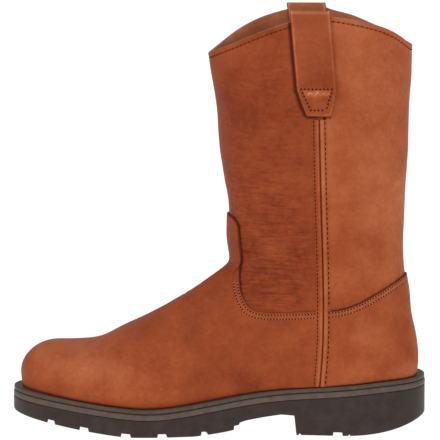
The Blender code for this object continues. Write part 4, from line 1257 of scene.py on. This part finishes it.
def carried(points, ahead, facing, sizes, lift, bend=0.0, slant=0.0):
    """Capsules of the given sizes at the points, lifted along the normals and bent down at the ends."""
    shape, faces = capsule()
    beside = np.cross(facing, ahead)
    turned = ahead * math.cos(slant) + beside * math.sin(slant)
    aside = np.cross(facing, turned)
    drop = -bend * shape[:, 0] ** 2
    made = points[:, None] + turned[:, None] * (shape[:, 0] * sizes[0])[None, :, None]
    made = made + aside[:, None] * (shape[:, 1] * sizes[1])[None, :, None]
    made = made + facing[:, None] * (shape[:, 2] * sizes[2] + lift + drop)[None, :, None]
    count = len(shape)
    all_faces = (faces[None] + (np.arange(len(points)) * count)[:, None, None]).reshape(-1, 4)
    return made.reshape(-1, 3), all_faces


def stitch_rows(name, rows, thread, pitch, length, width, hole, slant=0.0):
    """Threads and painted shade for the needle holes along several lines, as one piece of two materials."""
    points, faces, paints, total = [], [], [], 0
    for line, normals in rows:
        at, ahead, facing = spaced(line, normals, pitch)
        half = length * pitch / 2
        for sizes, lift, bend, shift, paint in (
                ((half, width / 2, width * 0.42), 0.10 * MM, 0.30 * MM, 0.0, 0),
                ((hole[0], hole[1], 0.12 * MM), 0.03 * MM, 0.0, 0.5, 1)):
            moved = at + ahead * pitch * shift
            made, quads = carried(moved, ahead, facing, sizes, lift, bend, slant)
            points.append(made)
            faces.append(quads + total)
            paints.append(np.full(len(quads), paint))
            total += len(made)
    make_piece(name, np.vstack(points), np.vstack(faces), (thread, needle_hole_shade),
               slots_of_faces=np.concatenate(paints))


def contour(face, normals, distance, value):
    """Line at a distance from the edge: in each column the first crossing, counted from the edge."""
    reversed_distance = distance[::-1]
    row = np.maximum(np.argmax(reversed_distance > value, axis=0), 1)
    pick = np.arange(face.shape[1])
    low, high = reversed_distance[row - 1, pick], reversed_distance[row, pick]
    share = np.clip((value - low) / np.maximum(high - low, 1e-9), 0, 1)[:, None]
    line = face[::-1][row - 1, pick] * (1 - share) + face[::-1][row, pick] * share
    facing = normals[::-1][row - 1, pick] * (1 - share) + normals[::-1][row, pick] * share
    return line, facing


vamp_rows = []
for channel in VAMP_CHANNELS:
    line, facing = contour(vamp_face, vamp_normal, vamp_distance, channel)
    for side in (-1, 1):
        sewn = (line[:, 2] < VAMP_SEWN_BELOW) & (line[:, 1] * side > 0)
        vamp_rows.append((line[sewn], facing[sewn]))
counter_rows = [
    contour(counter_face, counter_normal, counter_distance, channel) for channel in COUNTER_CHANNELS]
stitch_rows("vamp_stitches", vamp_rows, tan_thread, *OVERLAY_STITCH)
stitch_rows("counter_stitches", counter_rows, tan_thread, *OVERLAY_STITCH)
for side, word in ((-1, "outer"), (1, "inner")):
    front_row, back_row = seam_lines[side]
    stitch_rows("seam_stitches_front_" + word, [front_row], seam_thread, *FRONT_STITCH)
    stitch_rows("seam_stitches_back_" + word, [back_row], seam_thread, *BACK_STITCH)

collar_face = np.concatenate([upper_face, upper_face[:, :1]], 1)
collar_normal = np.concatenate([normal, normal[:, :1]], 1)
collar_distance = np.concatenate([to_rim, to_rim[:, :1]], 1)
collar_line, collar_facing = contour(collar_face, collar_normal, collar_distance, COLLAR_STITCH)
stitch_rows("collar_stitches", [(collar_line, collar_facing)], dark_thread, *RIM_STITCH)

# %% [markdown]
# Each strap's foot is sewn down along a trapezoid. Its corners are given across the strap and in
# height, and each point of its line is looked up on the strap's own face.

# %% Stitched foot of the straps
# Corners of the sewn trapezoid, seen from outside: share of the strap's width, height
SEWN_CORNERS = ((-0.425, 256.5 * MM), (0.425, 256.5 * MM), (0.24, 241.2 * MM), (-0.24, 241.2 * MM))


def strap_seam(side):
    """Closed line of the trapezoid on the strap's outer face, found by its rows and columns."""
    face, facing, offset = strap_faces[side]
    heights = face[:OUTER_ROWS, STRAP_MIDDLE, 2]
    corners = [(a * STRAP_WIDTH * (0.8 if z < 250 * MM else 0.92), z) for a, z in SEWN_CORNERS]
    corners.append(corners[0])
    lines = []
    for (a, z), (b, y) in zip(corners[:-1], corners[1:]):
        t = np.linspace(0, 1, 30)
        level = z + (y - z) * t
        rows = np.interp(level, heights, np.arange(OUTER_ROWS))
        row = np.clip(np.round(rows).astype(int), 0, OUTER_ROWS - 1)
        wanted = a + (b - a) * t
        columns = np.abs(offset[row] - wanted[:, None]).argmin(1)
        points = face[row, columns].copy()
        points[:, 0] = strap_middle(level, STRAP_LEAN[side]) + wanted
        points[:, 2] = level
        lines.append((points, facing[row, columns]))
    return lines


for side, word in ((-1, "outer"), (1, "inner")):
    stitch_rows("strap_stitches_" + word, strap_seam(side), seam_thread, *STRAP_STITCH)

# %% [markdown]
# The sole is moulded in one piece with its heel. Its plan is the closed spline, its side wall a
# profile carried round that plan, and its underside a sheet of lines across, one for each station
# along the length. Stations crowd at both sides of every groove, so that the lugs' edges stay sharp.

# %% Outsole
def underside(share):
    """Height of the underside: heel bevel, flat heel, waist, flat tread and toe spring."""
    height = WAIST_CLEARANCE * np.interp(share, column(WAIST_ARCH, 0), column(WAIST_ARCH, 1))
    heel = np.clip((HEEL_FLAT_FROM - share) / HEEL_FLAT_FROM, 0, 1)
    toe = np.clip((share - TREAD_FLAT_TO) / (1 - TREAD_FLAT_TO), 0, 1)
    return height + HEEL_BEVEL * heel ** 2.3 + TOE_SPRING * toe ** 1.25


def grooved(share):
    """Underside with the grooves between the lugs cut into it."""
    height = underside(share)
    for middle, width, depth in TREAD_GROOVES:
        away = np.abs(share - middle) * SOLE_LENGTH
        cut = underside(np.full(share.shape, middle)) + depth
        if middle > TREAD_FLAT_TO:
            cut = underside(share) + depth
        height = np.where(away < width / 2, np.maximum(height, cut), height)
    return height


edges = [
    middle + (sign * width / 2 + shift * 0.25 * MM) / SOLE_LENGTH
    for middle, width, depth in TREAD_GROOVES for sign in (-1, 1) for shift in (-1, 1)
]
stations = (1 - np.cos(math.pi * np.linspace(0.012, 0.988, 190))) / 2
breast = np.array([0.3075, 0.3085, 0.3125, 0.3135])
stations = np.unique(np.concatenate([stations, edges, breast]))
station_x = (0.5 - stations) * SOLE_LENGTH


def sole_sides(inset):
    """Outer and inner side of the sole's plan at the stations, moved inwards by an inset."""
    outer, inner = split_plan(moved_in(sole_outline(1600), inset))
    reach = 1 - inset / (SOLE_LENGTH / 2)
    return (np.stack([station_x * reach, np.interp(station_x * reach, side[:, 0], side[:, 1])], 1)
            for side in (outer, inner))


# Side wall from the ground up: inset, share of the wall's height, lift over it
WALL_PROFILE = (
    (1.3 * MM, 0.0, 0.0), (0.45 * MM, 0.0, 0.25 * MM), (0.1 * MM, 0.0, 0.9 * MM), (0.0, 0.0, 1.8 * MM),
    (0.0, 0.35, 0.9 * MM), (0.0, 0.7, 0.4 * MM), (0.0, 1.0, -1.2 * MM), (0.03 * MM, 1.0, -0.5 * MM),
    (0.12 * MM, 1.0, -0.2 * MM), (0.35 * MM, 1.0, -0.03 * MM), (3.0 * MM, 1.0, 0.0),
)


def ring_of(inset, share, lift):
    """One ring of the side wall: toe-to-heel along the outer side and back along the inner one."""
    outer, inner = sole_sides(inset)
    loop = np.vstack([outer, inner[::-1]])
    low = np.concatenate([grooved(stations), grooved(stations[::-1])])
    high = top_edge(loop[:, 0])
    return np.column_stack([loop, low + (high - low) * share + lift])


walls = np.stack([ring_of(*row) for row in WALL_PROFILE])
station_count = len(stations)
ACROSS = 26


def sheet_between(ring, bent):
    """Sheet across the sole between the two sides of a ring, its lines bent towards the toe."""
    first, second = ring[:station_count], ring[station_count:][::-1]
    t = (1 - np.cos(math.pi * np.linspace(0, 1, ACROSS))) / 2
    sheet = first[:, None] + (second - first)[:, None] * t[None, :, None]
    middle = 1 - np.abs(2 * t - 1)
    on_tread = smooth_step(stations, 0.44, 0.50) * smooth_step(stations, 0.985, 0.94)
    sheet[..., 0] -= bent * on_tread[:, None] * middle[None, :]
    return sheet


below = sheet_between(walls[0], CHEVRON)
above = sheet_between(walls[-1], 0)
sole_points = np.vstack([walls.reshape(-1, 3), below[:, 1:-1].reshape(-1, 3), above[:, 1:-1].reshape(-1, 3)])
ring_count = 2 * station_count
wall_faces = quads_of(len(walls), ring_count, True)


def toe_reach(points):
    """Points of the sole's pieces, stretched a little past the toe."""
    points[:, 0] -= TOE_REACH * smooth_step(points[:, 0], -70 * MM, -152 * MM)
    return points


def sheet_faces(first_ring, inner_start):
    """Faces of a sheet whose first and last columns are the ring's own points."""
    index = np.empty((station_count, ACROSS), int)
    index[:, 0] = first_ring + np.arange(station_count)
    index[:, -1] = first_ring + ring_count - 1 - np.arange(station_count)
    index[:, 1:-1] = inner_start + np.arange(station_count * (ACROSS - 2)).reshape(station_count, -1)
    return np.stack([index[:-1, :-1], index[:-1, 1:], index[1:, 1:], index[1:, :-1]], -1).reshape(-1, 4)


inner_start = len(walls) * ring_count
below_faces = sheet_faces(0, inner_start)
above_faces = sheet_faces((len(walls) - 1) * ring_count, inner_start + below[:, 1:-1].size // 3)
sole_faces = np.vstack([wall_faces, below_faces, above_faces[:, ::-1]])
sole_piece = make_piece(
    "lug_sole", toe_reach(sole_points), sole_faces[:, ::-1], (rubber,), ("outsole",))
sole_piece.data.set_sharp_from_angle(angle=math.radians(40))

# %% [markdown]
# Midsole and welt are strips laid on the top edge of the sole. Each is a closed profile carried
# round the plan: a rounded outer face with a fine groove between one strip and the next. The insole
# is a plain board whose shape is right already, so it only takes the board's finish.

# %% Midsole, welt and insole
def strip_piece(name, node, profile, paint, count=620):
    """Ring with a closed profile of inset and height over the sole's top edge, carried round it."""
    loop = sole_outline(count)
    rings_made = []
    for inset, lift in profile:
        moved = moved_in(loop, inset)
        rings_made.append(np.column_stack([moved, top_edge(moved[:, 0]) + lift]))
    grid = np.stack(rings_made + rings_made[:1])
    flat = np.stack(rings_made).reshape(-1, 3)
    faces = quads_of(len(grid), count, True) % (len(rings_made) * count)
    make_piece(name, toe_reach(flat), faces, (paint,), (node,))


MIDSOLE_TOP = GAP + MIDSOLE_THICKNESS
MIDSOLE_PROFILE = (
    (30 * MM, GAP), (0.5 * MM, GAP), (0.2 * MM, GAP + 0.12 * MM), (0.05 * MM, GAP + 0.4 * MM),
    (0.0, GAP + 1.2 * MM), (0.05 * MM, MIDSOLE_TOP - 1.3 * MM), (0.3 * MM, MIDSOLE_TOP - 0.6 * MM),
    (0.7 * MM, MIDSOLE_TOP - 0.2 * MM), (1.4 * MM, MIDSOLE_TOP), (30 * MM, MIDSOLE_TOP),
)
WELT_TOP = WELT_FOOT + WELT_THICKNESS
WELT_PROFILE = (
    (12.8 * MM, WELT_FOOT), (1.6 * MM, WELT_FOOT), (0.9 * MM, WELT_FOOT + 0.2 * MM),
    (0.5 * MM, WELT_FOOT + 0.7 * MM), (0.4 * MM, WELT_FOOT + 1.4 * MM), (0.5 * MM, WELT_TOP - 0.9 * MM),
    (0.8 * MM, WELT_TOP - 0.35 * MM), (1.3 * MM, WELT_TOP - 0.05 * MM), (2.0 * MM, WELT_TOP - 0.1 * MM),
    (2.8 * MM, WELT_TOP - 0.45 * MM), (3.8 * MM, WELT_TOP - 0.4 * MM), (5.0 * MM, WELT_TOP),
    (12.8 * MM, WELT_TOP),
)
strip_piece("midsole_strip", "midsole", MIDSOLE_PROFILE, strip)
strip_piece("welt_ring", "welt", WELT_PROFILE, welt_finish)
for place_of_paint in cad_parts["insole"].material_slots:
    place_of_paint.material = board
